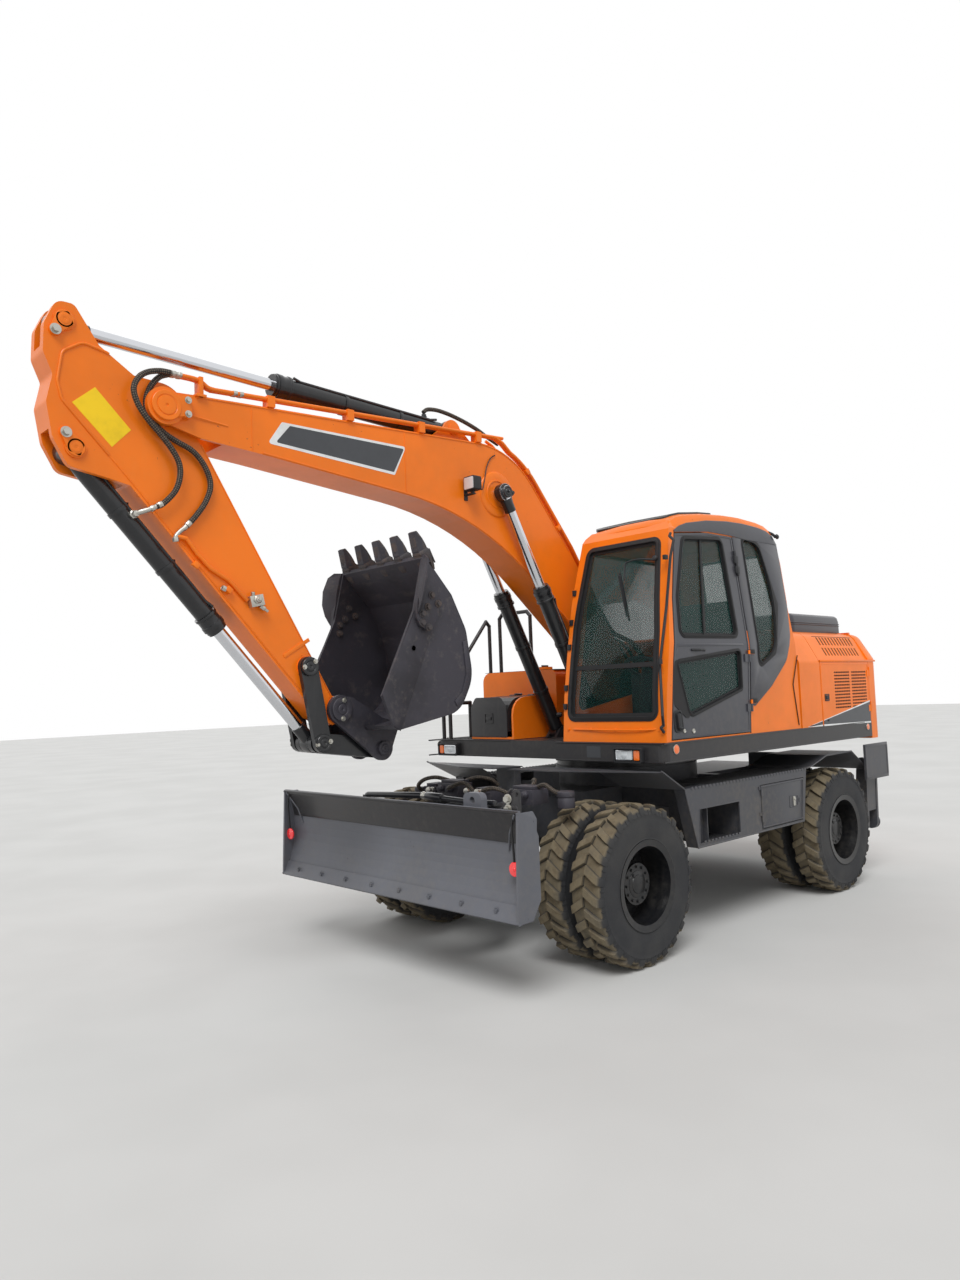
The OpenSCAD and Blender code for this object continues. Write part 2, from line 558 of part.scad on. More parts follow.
// Hinge parts: a knuckle on a vertical pin at [x, y] with a strap along X from that pin, and one on a cross
// pin
module knuckle_z(p, z0, z1, d, reach, strap) {
    translate([p[0], p[1], z0]) cylinder(h = z1 - z0, d = d);
    box([min(p[0], p[0] + reach), min(strap), z0], [max(p[0], p[0] + reach), max(strap), z1]);
}
module knuckle_y(p, y0, y1, d, reach, strap) {
    bar_y(p, y0, y1, d);
    box([min(p[0], p[0] + reach), y0, strap[0]], [max(p[0], p[0] + reach), y1, strap[1]]);
}
service_hinge = [-2108, deck_hw + 6];
service_hinge_z = [1520, 1840];
module counterweight() color(orange) placed() {
    counterweight_block();
    both_sides() for (z = service_hinge_z)
        knuckle_z(service_hinge, z + 60 + seat, z + 90, 11, -40, [deck_hw - 5, deck_hw + 6]);
}
module counterweight_block() {
    intersection() {
        along_z(1271, 1985) polygon(rounded([[deck_rear - seat, -deck_hw], [deck_rear - seat, deck_hw],
            [tail_x + 70, deck_hw, 90], [tail_x, 0.4 * deck_hw, 900], [tail_x, -0.4 * deck_hw, 900],
            [tail_x + 70, -deck_hw, 90]]));
        along_y(-deck_hw, deck_hw) polygon(rounded([[deck_rear, 1271], [deck_rear, 1985],
            [tail_x + 60, 1985, 90],
            [tail_x, 1700], [tail_x + 10, 1271, 60]]));
    }
}
module engine() color("gray") placed() box([-1900, -420, deck_z1], [-1250, 420, 2050]);

// Rear body: fixed bulkheads and posts round the engine, with side doors and hood
hood_front = -1150;
body_top = 2270;
hood_hinge = [hood_front, body_top + 10];
body_section = [[-deck_hw, deck_z1], [deck_hw, deck_z1], [deck_hw, 1976, 60],
    [deck_hw - 140, body_top - 40, 120],
    [deck_hw - 330, body_top], [-deck_hw + 330, body_top], [-deck_hw + 140, body_top - 40, 120],
        [-deck_hw, 1976, 60]];
module body_shell(x0, x1, t) difference() {
    along_x(x0, x1) polygon(rounded(body_section));
    along_x(x0 - 1, x1 + 1) polygon(rounded([[-deck_hw + t, deck_z1 - 10], [deck_hw - t, deck_z1 - 10],
        [deck_hw - t, 1976, 50],
        [deck_hw - 140 - t, body_top - 40 - t, 110], [deck_hw - 330, body_top - t],
            [-deck_hw + 330, body_top - t],
        [-deck_hw + 140 + t, body_top - 40 - t, 110], [-deck_hw + t, 1976, 50]]));
}
module rear_body() color(orange) placed() {
    body_shell(hood_front + 4, -790, 20);
    along_x(hood_front + 4, hood_front + 30) polygon(rounded(body_section));
    // rear bulkhead in front of the counterweight
    along_x(deck_rear, deck_rear + 20)
        polygon([[-deck_hw + 40, deck_z1], [deck_hw - 40, deck_z1], [deck_hw - 40, 1960],
        [-deck_hw + 40, 1960]]);
    // fixed halves of the hood's hinges
    both_sides() knuckle_y(hood_hinge, 560 + seat, 600, 20, 50, [body_top - 6, body_top + 8]);
    // sills joining front and rear
    both_sides() box([deck_rear + 10, deck_hw - 60, deck_z1], [hood_front + 10, deck_hw - 40, deck_z1 + 40]);
}
module engine_hood() color(orange) placed() {
    difference() {
        intersection() {
            body_shell(-2290, hood_front - door_gap / 2, 16);
            along_y(-deck_hw, deck_hw)
                polygon(rounded([[hood_front, 1990], [hood_front, body_top + 10], [-2140, body_top, 60],
                [-2285, 1990, 30]]));
        }
        // two rows of slots in each shoulder
        both_sides() for (row = [0, 1]) for (i = [0:11])
            box([-2010 + i * 58 - row * 6, deck_hw - 160, 2035 + row * 95],
                [-1985 + i * 58 - row * 6, deck_hw + 10, 2105 + row * 95]);
    }
    // rear wall of the hood over the counterweight
    along_y(-deck_hw + 175, deck_hw - 175)
        polygon([[-2240, 1992], [-2284, 1992], [-2150, 2262], [-2120, 2262]]);
    both_sides() knuckle_y(hood_hinge, 500, 560, 20, -50, [body_top - 6, body_top + 8]);
    // low dark cover on top
    along_z(body_top - 10, body_top + 70)
        polygon(rounded([[-1950, -380, 60], [-1300, -380, 60], [-1300, 380, 60], [-1950, 380, 60]]));
}
module service_door(side) mirror([0, side > 0 ? 0 : 1, 0]) {
    box([deck_rear + door_gap, deck_hw - 22, deck_z1 + door_gap], [hood_front - door_gap, deck_hw, 1976]);
    for (z = service_hinge_z) {
        knuckle_z(service_hinge, z, z + 60, 11, 40, [deck_hw + 1, deck_hw + 6]);
        box([-2095, deck_hw - 5, z], [-2068, deck_hw + 6, z + 60]);
    }
}
module service_door_left() color(orange) placed() service_door(1);
module service_door_right() color(orange) placed() service_door(-1);

// Cab: side profile and cross section meet, the wall is what is left of the inset ones
cab_z0 = deck_z1 + seat;
cab_profile = [[-777, cab_z0], [1124, cab_z0], [1094, 1760], [1045, 2050], [965, 2450], [843, 2950],
    [770, 3030],
    [519, 3075], [-20, 3072], [-539, 3016], [-640, 2800], [-725, 2437], [-765, 2000]];
cab_section = [[cab_y0, cab_z0], [cab_y1, cab_z0], [cab_y1, 2120], [cab_y1 - 92, 2960], [cab_y1 - 190, 3075],
    [cab_y0 + 120, 3075], [cab_y0 + 40, 2990], [cab_y0, 2500]];
module cab_form(d) intersection() {
    along_y(cab_y0 + d, cab_y1 - d) polygon(inset(cab_profile, d));
    along_x(-777 + d, 1124 - d) polygon(inset(cab_section, d));
}
door_outline = [[1066, 1440], [1000, 1990], [925, 2440], [786, 2925], [330, 2972], [-5, 2972], [-20, 2000],
    [25, 1440]];
cab_hinge = [0, cab_y1 + 10];
windscreen = [[cab_y0 + 52, 1590, 60], [cab_y1 - 80, 1590, 60], [cab_y1 - 100, 2200],
    [cab_y1 - 160, 2890, 60],
    [cab_y0 + 110, 2890, 60], [cab_y0 + 56, 2300]];
upper_pane = [[895, 2160, 60], [862, 2450], [690, 2900, 70], [150, 2940, 60], [120, 2170, 60]];
lower_pane = [[970, 1990, 40], [110, 2080, 40], [110, 1770, 30], [830, 1590, 60]];
quarter_pane = [[-140, 2980, 40], [-400, 2950, 60], [-560, 2450, 60], [-420, 2050, 60], [-150, 1930, 40]];
rear_pane = [[cab_y0 + 110, 2080, 50], [cab_y1 - 120, 2080, 50], [cab_y1 - 190, 2880, 50],
    [cab_y0 + 150, 2880, 50]];
roof_hatch = [[100, 500, 50], [650, 500, 50], [650, 1000, 50], [100, 1000, 50]];
module cab_openings(d) {
    along_x(500, 1300) polygon(inset(rounded(windscreen), d));
    along_x(-1000, -500) polygon(inset(rounded(rear_pane), d));
    // right side window, between the pillars
    along_y(cab_y0 - 100, cab_y0 + 150)
        polygon(inset(rounded([[1000, 1640, 60], [-560, 1900, 60], [-460, 2860, 60], [740, 2880, 60]]), -d));
}
module quarter(d) along_y(cab_y1 - 300, cab_y1 + 50) polygon(inset(rounded(quarter_pane), d));
module cab_shell() color(orange) placed() {
    difference() {
        cab_form(0);
        cab_form(cab_wall);
        cab_openings(0);
        quarter(0);
        along_y(cab_y1 - 260, cab_y1 + 50) polygon(door_outline);
        // roof hatch
        along_z(3000, 3100) polygon(rounded(roof_hatch));
    }
    for (z = cab_hinge_z) {
        knuckle_z(cab_hinge, z + 60 + seat, z + 90, 18, -30, [cab_y1 + 1, cab_y1 + 10]);
        box([-80, cab_y1 - 5, z + 60 + seat], [-28, cab_y1 + 10, z + 90]);
    }
    // floor
    box([-720, cab_y0 + 20, cab_z0 + 1], [1080, cab_y1 - 60, cab_z0 + cab_wall]);
}
cab_hinge_z = [1600, 1980];
module door_solid() intersection() {
    difference() {
        cab_form(0);
        cab_form(40);
        box([-800, cab_y0, 1400], [1200, cab_y1 - 40, cab_z0 + cab_wall + door_gap]);
    }
    along_y(cab_y1 - 240, cab_y1 + 50) polygon(inset(door_outline, door_gap));
}
module cab_door() color(dark) placed() {
    door_frame();
    for (z = cab_hinge_z) {
        knuckle_z(cab_hinge, z, z + 60, 18, 60, [cab_y1 + 1, cab_y1 + 10]);
        box([34, cab_y1 - 5, z], [60, cab_y1 + 10, z + 60]);
    }
}
module door_frame() difference() {
    door_solid();
    along_y(cab_y1 - 260, cab_y1 + 50) polygon(rounded(upper_pane));
    along_y(cab_y1 - 260, cab_y1 + 50) polygon(rounded(lower_pane));
}
module glass_skin() difference() {
    cab_form(14);
    cab_form(14 + pane);
}
module door_glass() color("lightblue", 0.4) placed() intersection() {
    glass_skin();
    along_y(cab_y1 - 260, cab_y1 + 50) {
        polygon(inset(rounded(upper_pane), seat));
        polygon(inset(rounded(lower_pane), seat));
    }
}
module cab_glass() color("lightblue", 0.4) placed() {
    intersection() {
        glass_skin();
        union() {
            cab_openings(seat);
            quarter(seat);
            along_z(3000, 3100) polygon(inset(rounded(roof_hatch), seat));
        }
    }
}
module cab_interior() color("darkslategray") placed() {
    floor_z = cab_z0 + cab_wall + seat;
    // seat on its suspension, consoles, steering column and wheel
    box([-100, 620, floor_z], [330, 940, 1700]);
    along_y(540, 1020) polygon(rounded([[-120, 1700], [420, 1700], [430, 1840, 50], [40, 1850, 40],
        [-90, 2480, 50],
        [-210, 2480, 50], [-180, 1760, 40]]));
    for (y = [430, 1050]) box([-60, y, floor_z], [430, y + 90, 1930]);
    box([690, 720, floor_z], [840, 840, 1530]);
    translate([760, 780, 1500]) rotate([0, -12, 0]) cylinder(h = 450, d = 110);
    translate([660, 780, 1950]) rotate([0, -28, 0]) rotate_extrude() translate([180, 0]) circle(16);
    translate([665, 780, 1945]) rotate([0, -28, 0]) box([-180, -25, -12], [180, 25, 12]);
}

// Toolbox and tank on the right of the boom
toolbox_y0 = -830;
toolbox_y1 = -330;
lid_hinge = [570, 1782];
toolbox_outline = [[560, deck_z1], [1020, deck_z1], [1020, 1770, 150], [560, 1790, 60]];
module toolbox() color(orange) placed() {
    toolbox_tray();
    for (y = [-700, -480]) along_y(y + seat, y + 30) {
        translate(lid_hinge) circle(d = 16);
        polygon([[562, 1730], [574, 1730], [576, 1782], [564, 1782]]);
    }
}
module toolbox_tray() difference() {
    along_y(toolbox_y0, toolbox_y1) polygon(rounded(toolbox_outline));
    along_y(toolbox_y0 + 20, toolbox_y1 - 20)
        polygon(rounded([[580, deck_z1 + 20], [1100, deck_z1 + 20], [1100, 1900],
        [580, 1900]]));
    along_y(toolbox_y0 - 1, toolbox_y1 - 60) polygon([[575, 1490], [1100, 1490], [1100, 1900], [575, 1900]]);
}
module toolbox_lid() color(dark) placed() {
    toolbox_cover();
    for (y = [-760, -540]) along_y(y, y + 60) {
        translate(lid_hinge) circle(d = 16);
        polygon([[570, 1780], [570, 1790], [610, 1796], [625, 1788], [592, 1770]]);
    }
}
module toolbox_cover() difference() {
    intersection() {
        along_y(toolbox_y0, toolbox_y1 - 66) polygon(rounded(toolbox_outline));
        along_y(toolbox_y0, toolbox_y1 - 66) polygon([[580, 1496], [1100, 1496], [1100, 1900], [580, 1900]]);
    }
    along_y(toolbox_y0 + 12, toolbox_y1 - 78)
        polygon(rounded([[592, 1400], [1008, 1400], [1008, 1758, 140], [592, 1778]]));
}
module tank() color(orange) placed() {
    along_x(-780, 480) polygon(rounded([[-deck_hw, deck_z1], [-330, deck_z1], [-330, 2000, 60],
        [-deck_hw, 2000, 90]]));
    translate([100, -800, 1999]) cylinder(h = 40, d = 140);
}
// Handrails: bent tubes as straight lengths with round elbows
module tube_path(pts, d) for (i = [0:len(pts) - 2]) {
    p = pts[i];
    q = pts[i + 1];
    v = q - p;
    translate(p) rotate([0, acos(v[2] / norm(v)), atan2(v[1], v[0])]) cylinder(h = norm(v), d = d, $fn = 24);
    if (i > 0) translate(p) sphere(d = d + 2, $fn = 24);
}
rail_d = 34;
module handrails() color(black) placed() {
    outer = 45 - deck_hw;
    tube_path([[420, outer, 2000], [420, outer, 2440], [460, outer, 2480], [900, outer, 1960],
        [1020, outer, 1760],
        [1020, outer, deck_z1]], rail_d);
    tube_path([[380, -700, 2000], [380, -700, 2500], [380, -740, 2540], [380, outer + 140, 2540],
        [380, outer + 100, 2500], [380, outer + 100, 2000]], rail_d);
    tube_path([[1040, outer + 110, deck_z1], [1040, outer + 110, 1700], [1010, outer + 110, 1740],
        [800, outer + 110, 1740], [800, outer + 110, deck_z1]], rail_d);
}
module lamps() color("white") placed() {
    box([deck_front + seat, 850, 1305], [deck_front + 32, 1000, 1385]);
    box([deck_front + seat, 1004, 1305], [deck_front + 28, 1060, 1385]);
    box([1068 + seat, -1100, 1305], [1100, -950, 1385]);
    box([1068 + seat, -1160, 1305], [1096, -1104, 1385]);
}

// Boom
fork_y = arm_hw + 30;
boom_outline = [[boom_foot[0] - 118, boom_foot[1] + 60], [boom_foot[0] + 60, boom_foot[1] - 118], [722, 2260],
    [1761, 3111, 2300], [3538, 3282], [3925, 3312], [4120, 3360], [4140, 3545], [3957, 3556],
        [1408, 3668, 700], [788, 2936]];
module boom() color(orange) placed() {
    difference() {
        union() {
            along_y(-boom_hw, boom_hw) {
                polygon(rounded(boom_outline, 10));
                translate(boom_foot) circle(130);
            }
            bar_y(arm_pin, -boom_hw - 26, boom_hw + 26, 210);
            bar_y(boom_cyl_head, -boom_hw - 8, boom_hw + 8, 190);
        }
        // fork for the arm
        box([3790, -fork_y, 3200], [4400, fork_y, 3800]);
        bar_y(boom_foot, -300, 300, 100 + 2 * pin_gap);
    }
    bar_y(arm_pin, -boom_hw - 40, boom_hw + 40, 90);
    // ears and pin of the arm cylinder's foot
    both_sides() along_y(68, 96) {
        translate(arm_cyl_foot) circle(75);
        polygon([[1760, 3640], [2180, 3625], arm_cyl_foot + [70, 25], arm_cyl_foot + [-70, 25]]);
    }
    bar_y(arm_cyl_foot, -104, 104, 80);
}
// Two hard lines on clamps that stand on the boom's top plate
line_start = [1500, 3725];
line_end = [3860, 3610];
clamp_x = [1760, 2300, 2900, 3480];
function line_at(x) = line_start[1] + (x - line_start[0]) * (line_end[1] - line_start[1]) / (line_end[0] - line_start[0]);
function boom_top(x) = 3668 - (x - 1408) * (3668 - 3556) / (3957 - 1408);
module boom_lines() color(orange) placed() {
    for (y = [118, 146]) tube_path([[line_start[0], y, line_start[1]], [line_end[0], y, line_end[1]]], 24);
    for (x = clamp_x) along_y(100, 164)
        polygon([[x - 25, boom_top(x - 25) + seat], [x + 25, boom_top(x + 25) + seat],
        [x + 25, line_at(x) + 17], [x - 25, line_at(x) + 17]]);
}
boom_cyl_len = norm(boom_cyl_head - boom_cyl_foot);
module boom_barrels() color(black) placed() both_sides()
    from_to(boom_cyl_foot, boom_cyl_head, boom_cyl_y) barrel_body(1284, 116, 75, 72, 70, 130);
module boom_rods() color("silver") placed() both_sides()
    from_to(boom_cyl_foot, boom_cyl_head, boom_cyl_y) translate([boom_cyl_len, 0, 0]) {
        rod_body(1240, 75, 62, 130, 70, 62);
        rotate([90, 0, 0]) translate([0, 0, -46]) cylinder(h = 20, d = 96);
        rotate([90, 0, 0]) translate([0, 0, 30])
            cylinder(h = boom_cyl_y - boom_hw - 8 - pin_gap - 30, d = 96);
    }
// Arm
arm_outline = [[2960, 1690], [3060, 1650], [3157, 1700], [4317, 3000], [4460, 3030], [4640, 3060, 60],
    [4715, 3200, 60],
    [4745, 3380, 60], [4712, 3528, 40], [4758, 3640, 60], [4752, 3790, 80], [4690, 3925, 60],
        [4600, 3925, 40], [4473, 3734],
    [4289, 3612], [4144, 3604], [4000, 3500, 60], [3917, 3305], [3049, 1790]];
module arm() color(orange) placed() {
    difference() {
        union() {
            along_y(-arm_hw, arm_hw) {
                polygon(rounded(arm_outline));
                translate(arm_pin) circle(150);
            }
            bar_y(bucket_pin, -arm_hw - 6, arm_hw + 6, 170);
            bar_y(side_link_pin, -arm_hw - 8, arm_hw + 8, 120);
            bar_y(arm_cyl_head, -arm_hw - 10, arm_hw + 10, 110);
            bar_y(bucket_cyl_foot, -arm_hw - 10, arm_hw + 10, 110);
            bar_y(arm_pin, -fork_y + seat, fork_y - seat, 200);
        }
        // slot for the arm cylinder's rod, deep enough for its swing
        along_y(-46, 46) polygon([[4200, 3700], [4300, 3560], [4420, 3510], [4480, 3560], [4900, 3740],
            [4900, 4100], [4200, 4100]]);
        // slot for the bucket cylinder's foot
        along_y(-59, 59) polygon([[4500, 3160], [4530, 3250], [4680, 3260], [4900, 3200], [4900, 2900],
            [4300, 2900], [4340, 3010]]);
        bar_y(arm_pin, -300, 300, 90 + 2 * pin_gap);
    }
    bar_y(bucket_cyl_foot, -arm_hw, arm_hw, 75);
    bar_y(side_link_pin, -arm_hw - 46, arm_hw + 46, 70);
    bar_y(bucket_pin, -arm_hw - 46, arm_hw + 46, 75);
}
module arm_barrel() color(black) placed() from_to(arm_cyl_foot, arm_cyl_head, 0)
    barrel_body(1417, 132, 75, 110, 80, 150);
module arm_rod() color("silver") placed() from_to(arm_cyl_foot, arm_cyl_head, 0)
    translate([norm(arm_cyl_head - arm_cyl_foot), 0, 0]) rod_body(1540, 75, 84, 140, 80, 84);
module bucket_barrel() color(black) placed() from_to(bucket_cyl_foot, link_joint, 0)
    barrel_body(1230, 112, 75, 110, 75, 130);
module bucket_rod() color("silver") placed() from_to(bucket_cyl_foot, link_joint, 0)
    translate([norm(link_joint - bucket_cyl_foot), 0, 0]) rod_body(1400, 75, 80, 120, 70, 80);
module side_links() color(dark) placed() {
    both_sides() along_y(arm_hw + 10, arm_hw + 42) difference() {
        tapered_link(side_link_pin, link_joint, 62, 58);
        translate(side_link_pin) circle(d = 70 + 2 * pin_gap);
    }
    // pin through the link joint, outside the rod eye
    both_sides() bar_y(link_joint, 46, arm_hw + 50, 66);
}
module bucket_link() color(dark) placed() {
    both_sides() along_y(46, 88) difference() {
        tapered_link(link_joint, bucket_link_pin, 60, 66);
        translate(link_joint) circle(d = 66 + 2 * pin_gap);
    }
    along_y(-60, 60) polygon([[2960, 1500], [2960, 1545], [2860, 1530], [2860, 1485]]);
    bar_y(bucket_link_pin, -arm_hw - 10, arm_hw + 10, 120);
}
bucket_outer = [[2572, 2716], [2497, 2630], [2344, 2470], [2225, 2240, 200], [2175, 1920, 250],
    [2300, 1700, 200],
    [2545, 1655, 100], [2838, 1600, 40], [2935, 1820], [2664, 2355]];
bucket_inner = [[2588, 2703], [2513, 2617], [2361, 2459], [2245, 2235, 190], [2196, 1925, 235],
    [2310, 1718, 185],
    [2548, 1676, 90], [2826, 1622, 20], [3100, 1760], [2900, 2500]];
// Each tooth stands in line with the cutting edge
tooth_root = [2551, 2751];
tooth_lean = 28;
tooth_w = 64;
module tooth() rotate([90, 0, 0]) linear_extrude(tooth_w, center = true)
    polygon([[-30, -90], [34, -90], [46, 10], [12, 130], [-8, 130], [-34, 10]]);
module bucket() color(dark) placed() {
    difference() {
        along_y(-bucket_w / 2, bucket_w / 2) polygon(rounded(bucket_outer));
        along_y(-bucket_w / 2 + bucket_t, bucket_w / 2 - bucket_t) polygon(rounded(bucket_inner));
    }
    for (i = [0:teeth_n - 1])
        translate([tooth_root[0], (i / (teeth_n - 1) - 0.5) * (bucket_w - 110), tooth_root[1]])
            rotate([0, tooth_lean, 0]) tooth();
    // ears on the closed side
    both_sides() along_y(arm_hw + 12, arm_hw + 42) difference() {
        union() {
            tapered_link(bucket_pin, bucket_link_pin, 90, 80);
            polygon([bucket_pin + [-40, 80], bucket_link_pin + [-60, -40], [2560, 1640], [2700, 1680],
                [2935, 1820]]);
        }
        translate(bucket_pin) circle(d = 75 + 2 * pin_gap);
    }
    both_sides() bar_y(bucket_link_pin, arm_hw + 41, arm_hw + 56, 90);
    // side cutters
    both_sides() along_y(bucket_w / 2 - 2, bucket_w / 2 + 18)
        polygon([[2584, 2700], [2660, 2400], [2667, 2300], [2646, 2254], [2587, 2226], [2532, 2245],
            [2489, 2330], [2470, 2402],
            [2500, 2550]]);
}

chassis_frame();
slew_ring();
front_axle();
rear_axle();
driveline();
side_steps();
fenders();
locker_door();
knuckle_left();
knuckle_right();
tyres_front_left();
tyres_front_right();
tyres_rear_left();
tyres_rear_right();
rims_front_left();
rims_front_right();
rims_rear_left();
rims_rear_right();
blade();
blade_arms();
blade_links();
blade_barrels();
blade_rods();
outrigger_leg_left();
outrigger_leg_right();
outrigger_pad_left();
outrigger_pad_right();
outrigger_barrel_left();
outrigger_barrel_right();
outrigger_rod_left();
outrigger_rod_right();
upper_frame();
counterweight();
engine();
rear_body();
engine_hood();
service_door_left();
service_door_right();
cab_shell();
cab_door();
cab_glass();
door_glass();
cab_interior();
toolbox();
toolbox_lid();
tank();
handrails();
lamps();
boom();
boom_lines();
boom_barrels();
boom_rods();
arm();
arm_barrel();
arm_rod();
bucket_barrel();
bucket_rod();
side_links();
bucket_link();
bucket();
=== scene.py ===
from math import acos, atan2, cos, hypot, pi, radians, sin, sqrt, tan

import bmesh
import bpy
from mathutils import Matrix, Quaternion, Vector
from mathutils.geometry import tessellate_polygon


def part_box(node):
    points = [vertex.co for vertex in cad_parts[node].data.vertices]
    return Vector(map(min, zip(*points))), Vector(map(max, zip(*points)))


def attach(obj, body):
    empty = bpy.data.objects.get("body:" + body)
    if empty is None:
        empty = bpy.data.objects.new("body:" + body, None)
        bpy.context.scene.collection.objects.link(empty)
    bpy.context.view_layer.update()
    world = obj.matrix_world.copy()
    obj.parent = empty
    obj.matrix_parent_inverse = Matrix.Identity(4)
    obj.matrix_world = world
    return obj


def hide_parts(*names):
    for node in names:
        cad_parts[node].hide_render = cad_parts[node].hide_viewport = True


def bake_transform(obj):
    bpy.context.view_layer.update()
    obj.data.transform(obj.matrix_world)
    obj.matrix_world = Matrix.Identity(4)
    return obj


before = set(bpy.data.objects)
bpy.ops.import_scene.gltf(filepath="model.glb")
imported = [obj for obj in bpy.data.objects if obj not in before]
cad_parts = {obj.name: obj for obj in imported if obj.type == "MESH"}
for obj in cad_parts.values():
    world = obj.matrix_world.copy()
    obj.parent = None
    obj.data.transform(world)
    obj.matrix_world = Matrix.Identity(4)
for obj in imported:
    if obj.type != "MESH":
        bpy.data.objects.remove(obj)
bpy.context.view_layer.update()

# Places are written in millimetres from the slew axis at ground level: x forward, y left, z up
ringLow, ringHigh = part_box("slew_ring")
slewX = (ringLow.x + ringHigh.x) / 2
midY = (ringLow.y + ringHigh.y) / 2
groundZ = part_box("tyres_front_left")[0].z
toFrame = Matrix.Translation((slewX, midY, groundZ)) @ Matrix.Scale(0.001, 4)
hands = ((1, "Left"), (-1, "Right"))


def at(x, y, z):
    return toFrame @ Vector((x, y, z))


def placed(name, data):
    # a new object in the scene, at the origin
    thing = bpy.data.objects.new(name, data)
    bpy.context.scene.collection.objects.link(thing)
    return thing


def smoothed(mesh, angle=38):
    mesh.shade_smooth()
    mesh.set_sharp_from_angle(angle=radians(angle))


# camera and light
view = {"place": (6281.7, 4856.9, 1802.1), "yaw": 226.501, "pitch": 3.490, "roll": -2.153,
        "lens": 25.41, "film": 36.0}


def aimCamera():
    yaw, pitch, roll = (radians(view[k]) for k in ("yaw", "pitch", "roll"))
    ahead = Vector((cos(yaw) * cos(pitch), sin(yaw) * cos(pitch), sin(pitch)))
    right = ahead.cross(Vector((0, 0, 1))).normalized()
    up = right.cross(ahead)
    across = cos(roll) * right + sin(roll) * up
    upward = -sin(roll) * right + cos(roll) * up
    data = bpy.data.cameras.new("viewpoint")
    data.sensor_fit = "VERTICAL"
    data.sensor_height = view["film"]
    data.lens = view["lens"]
    data.clip_end = 200
    camera = placed("viewpoint", data)
    turn = Matrix((across, upward, -ahead)).transposed().to_4x4()
    camera.matrix_world = Matrix.Translation(at(*view["place"])) @ turn
    bpy.context.scene.camera = camera


light = {"ambient": 0.6, "sun": 2.0, "sunSpread": 28, "sunTurn": (38, 8, 120), "fill": 0.3, "fillTurn": (62, 0, -30)}


def lightStudio():
    bpy.context.scene.view_settings.view_transform = "Standard"
    world = bpy.data.worlds.new("studio")
    bpy.context.scene.world = world
    world.use_nodes = True
    tree = world.node_tree
    tree.nodes.clear()
    rays = addNode(tree, "ShaderNodeLightPath").outputs
    # the camera, gloss and glass see a white backdrop, and the machine is lit by a softer one
    indirect = addNode(tree, "ShaderNodeMath", {"operation": "MAXIMUM"},
                       (rays["Is Glossy Ray"], rays["Is Transmission Ray"]))
    seen = addNode(tree, "ShaderNodeMath", {"operation": "MAXIMUM"}, (rays["Is Camera Ray"], indirect.outputs[0]))
    strength = addNode(tree, "ShaderNodeMix", Factor=seen.outputs[0], A=light["ambient"], B=1.0)
    back = addNode(tree, "ShaderNodeBackground", Color=(1, 1, 1, 1), Strength=strength.outputs["Result"])
    addNode(tree, "ShaderNodeOutputWorld", Surface=back.outputs[0])
    for name, energy, turn, spread in (("key", light["sun"], light["sunTurn"], light["sunSpread"]),
                                       ("fill", light["fill"], light["fillTurn"], 60)):
        data = bpy.data.lights.new(name, "SUN")
        data.energy = energy
        data.angle = radians(spread)
        placed(name, data).rotation_euler = [radians(a) for a in turn]


aimCamera()


# shader maths
class Wire:
    # one socket of a material; sums and products on it add Math nodes
    def __init__(self, tree, socket):
        self.tree = tree
        self.socket = socket

    def sum(self, operation, *values):
        node = self.tree.nodes.new("ShaderNodeMath")
        node.operation = operation
        for place, value in zip(node.inputs, values):
            if isinstance(value, Wire):
                self.tree.links.new(value.socket, place)
            else:
                place.default_value = value
        return Wire(self.tree, node.outputs[0])

    def __add__(self, other):
        return self.sum("ADD", self, other)

    def __radd__(self, other):
        return self.sum("ADD", other, self)

    def __sub__(self, other):
        return self.sum("SUBTRACT", self, other)

    def __rsub__(self, other):
        return self.sum("SUBTRACT", other, self)

    def __mul__(self, other):
        return self.sum("MULTIPLY", self, other)

    def __rmul__(self, other):
        return self.sum("MULTIPLY", other, self)

    def __gt__(self, other):
        return self.sum("GREATER_THAN", self, other)

    def least(self, other):
        return self.sum("MINIMUM", self, other)

    def sine(self):
        return self.sum("SINE", self)

    def ramp(self, low, high):
        node = self.tree.nodes.new("ShaderNodeMapRange")
        node.interpolation_type = "SMOOTHSTEP"
        self.tree.links.new(self.socket, node.inputs["Value"])
        node.inputs["From Min"].default_value = low
        node.inputs["From Max"].default_value = high
        return Wire(self.tree, node.outputs["Result"])


def addNode(tree, kind, settings=None, order=(), **values):
    # settings first, then the sockets by their order or their names
    node = tree.nodes.new(kind)
    for key, value in (settings or {}).items():
        setattr(node, key, value)
    named = [(node.inputs[key.replace("_", " ")], value) for key, value in values.items()]
    for socket, value in list(zip(node.inputs, order)) + named:
        value = value.socket if isinstance(value, Wire) else value
        if isinstance(value, bpy.types.NodeSocket):
            tree.links.new(value, socket)
        else:
            socket.default_value = value
    return node


def linear(*rgb):
    return tuple(((c / 255 + 0.055) / 1.055) ** 2.4 if c > 10 else c / 255 / 12.92 for c in rgb) + (1.0,)


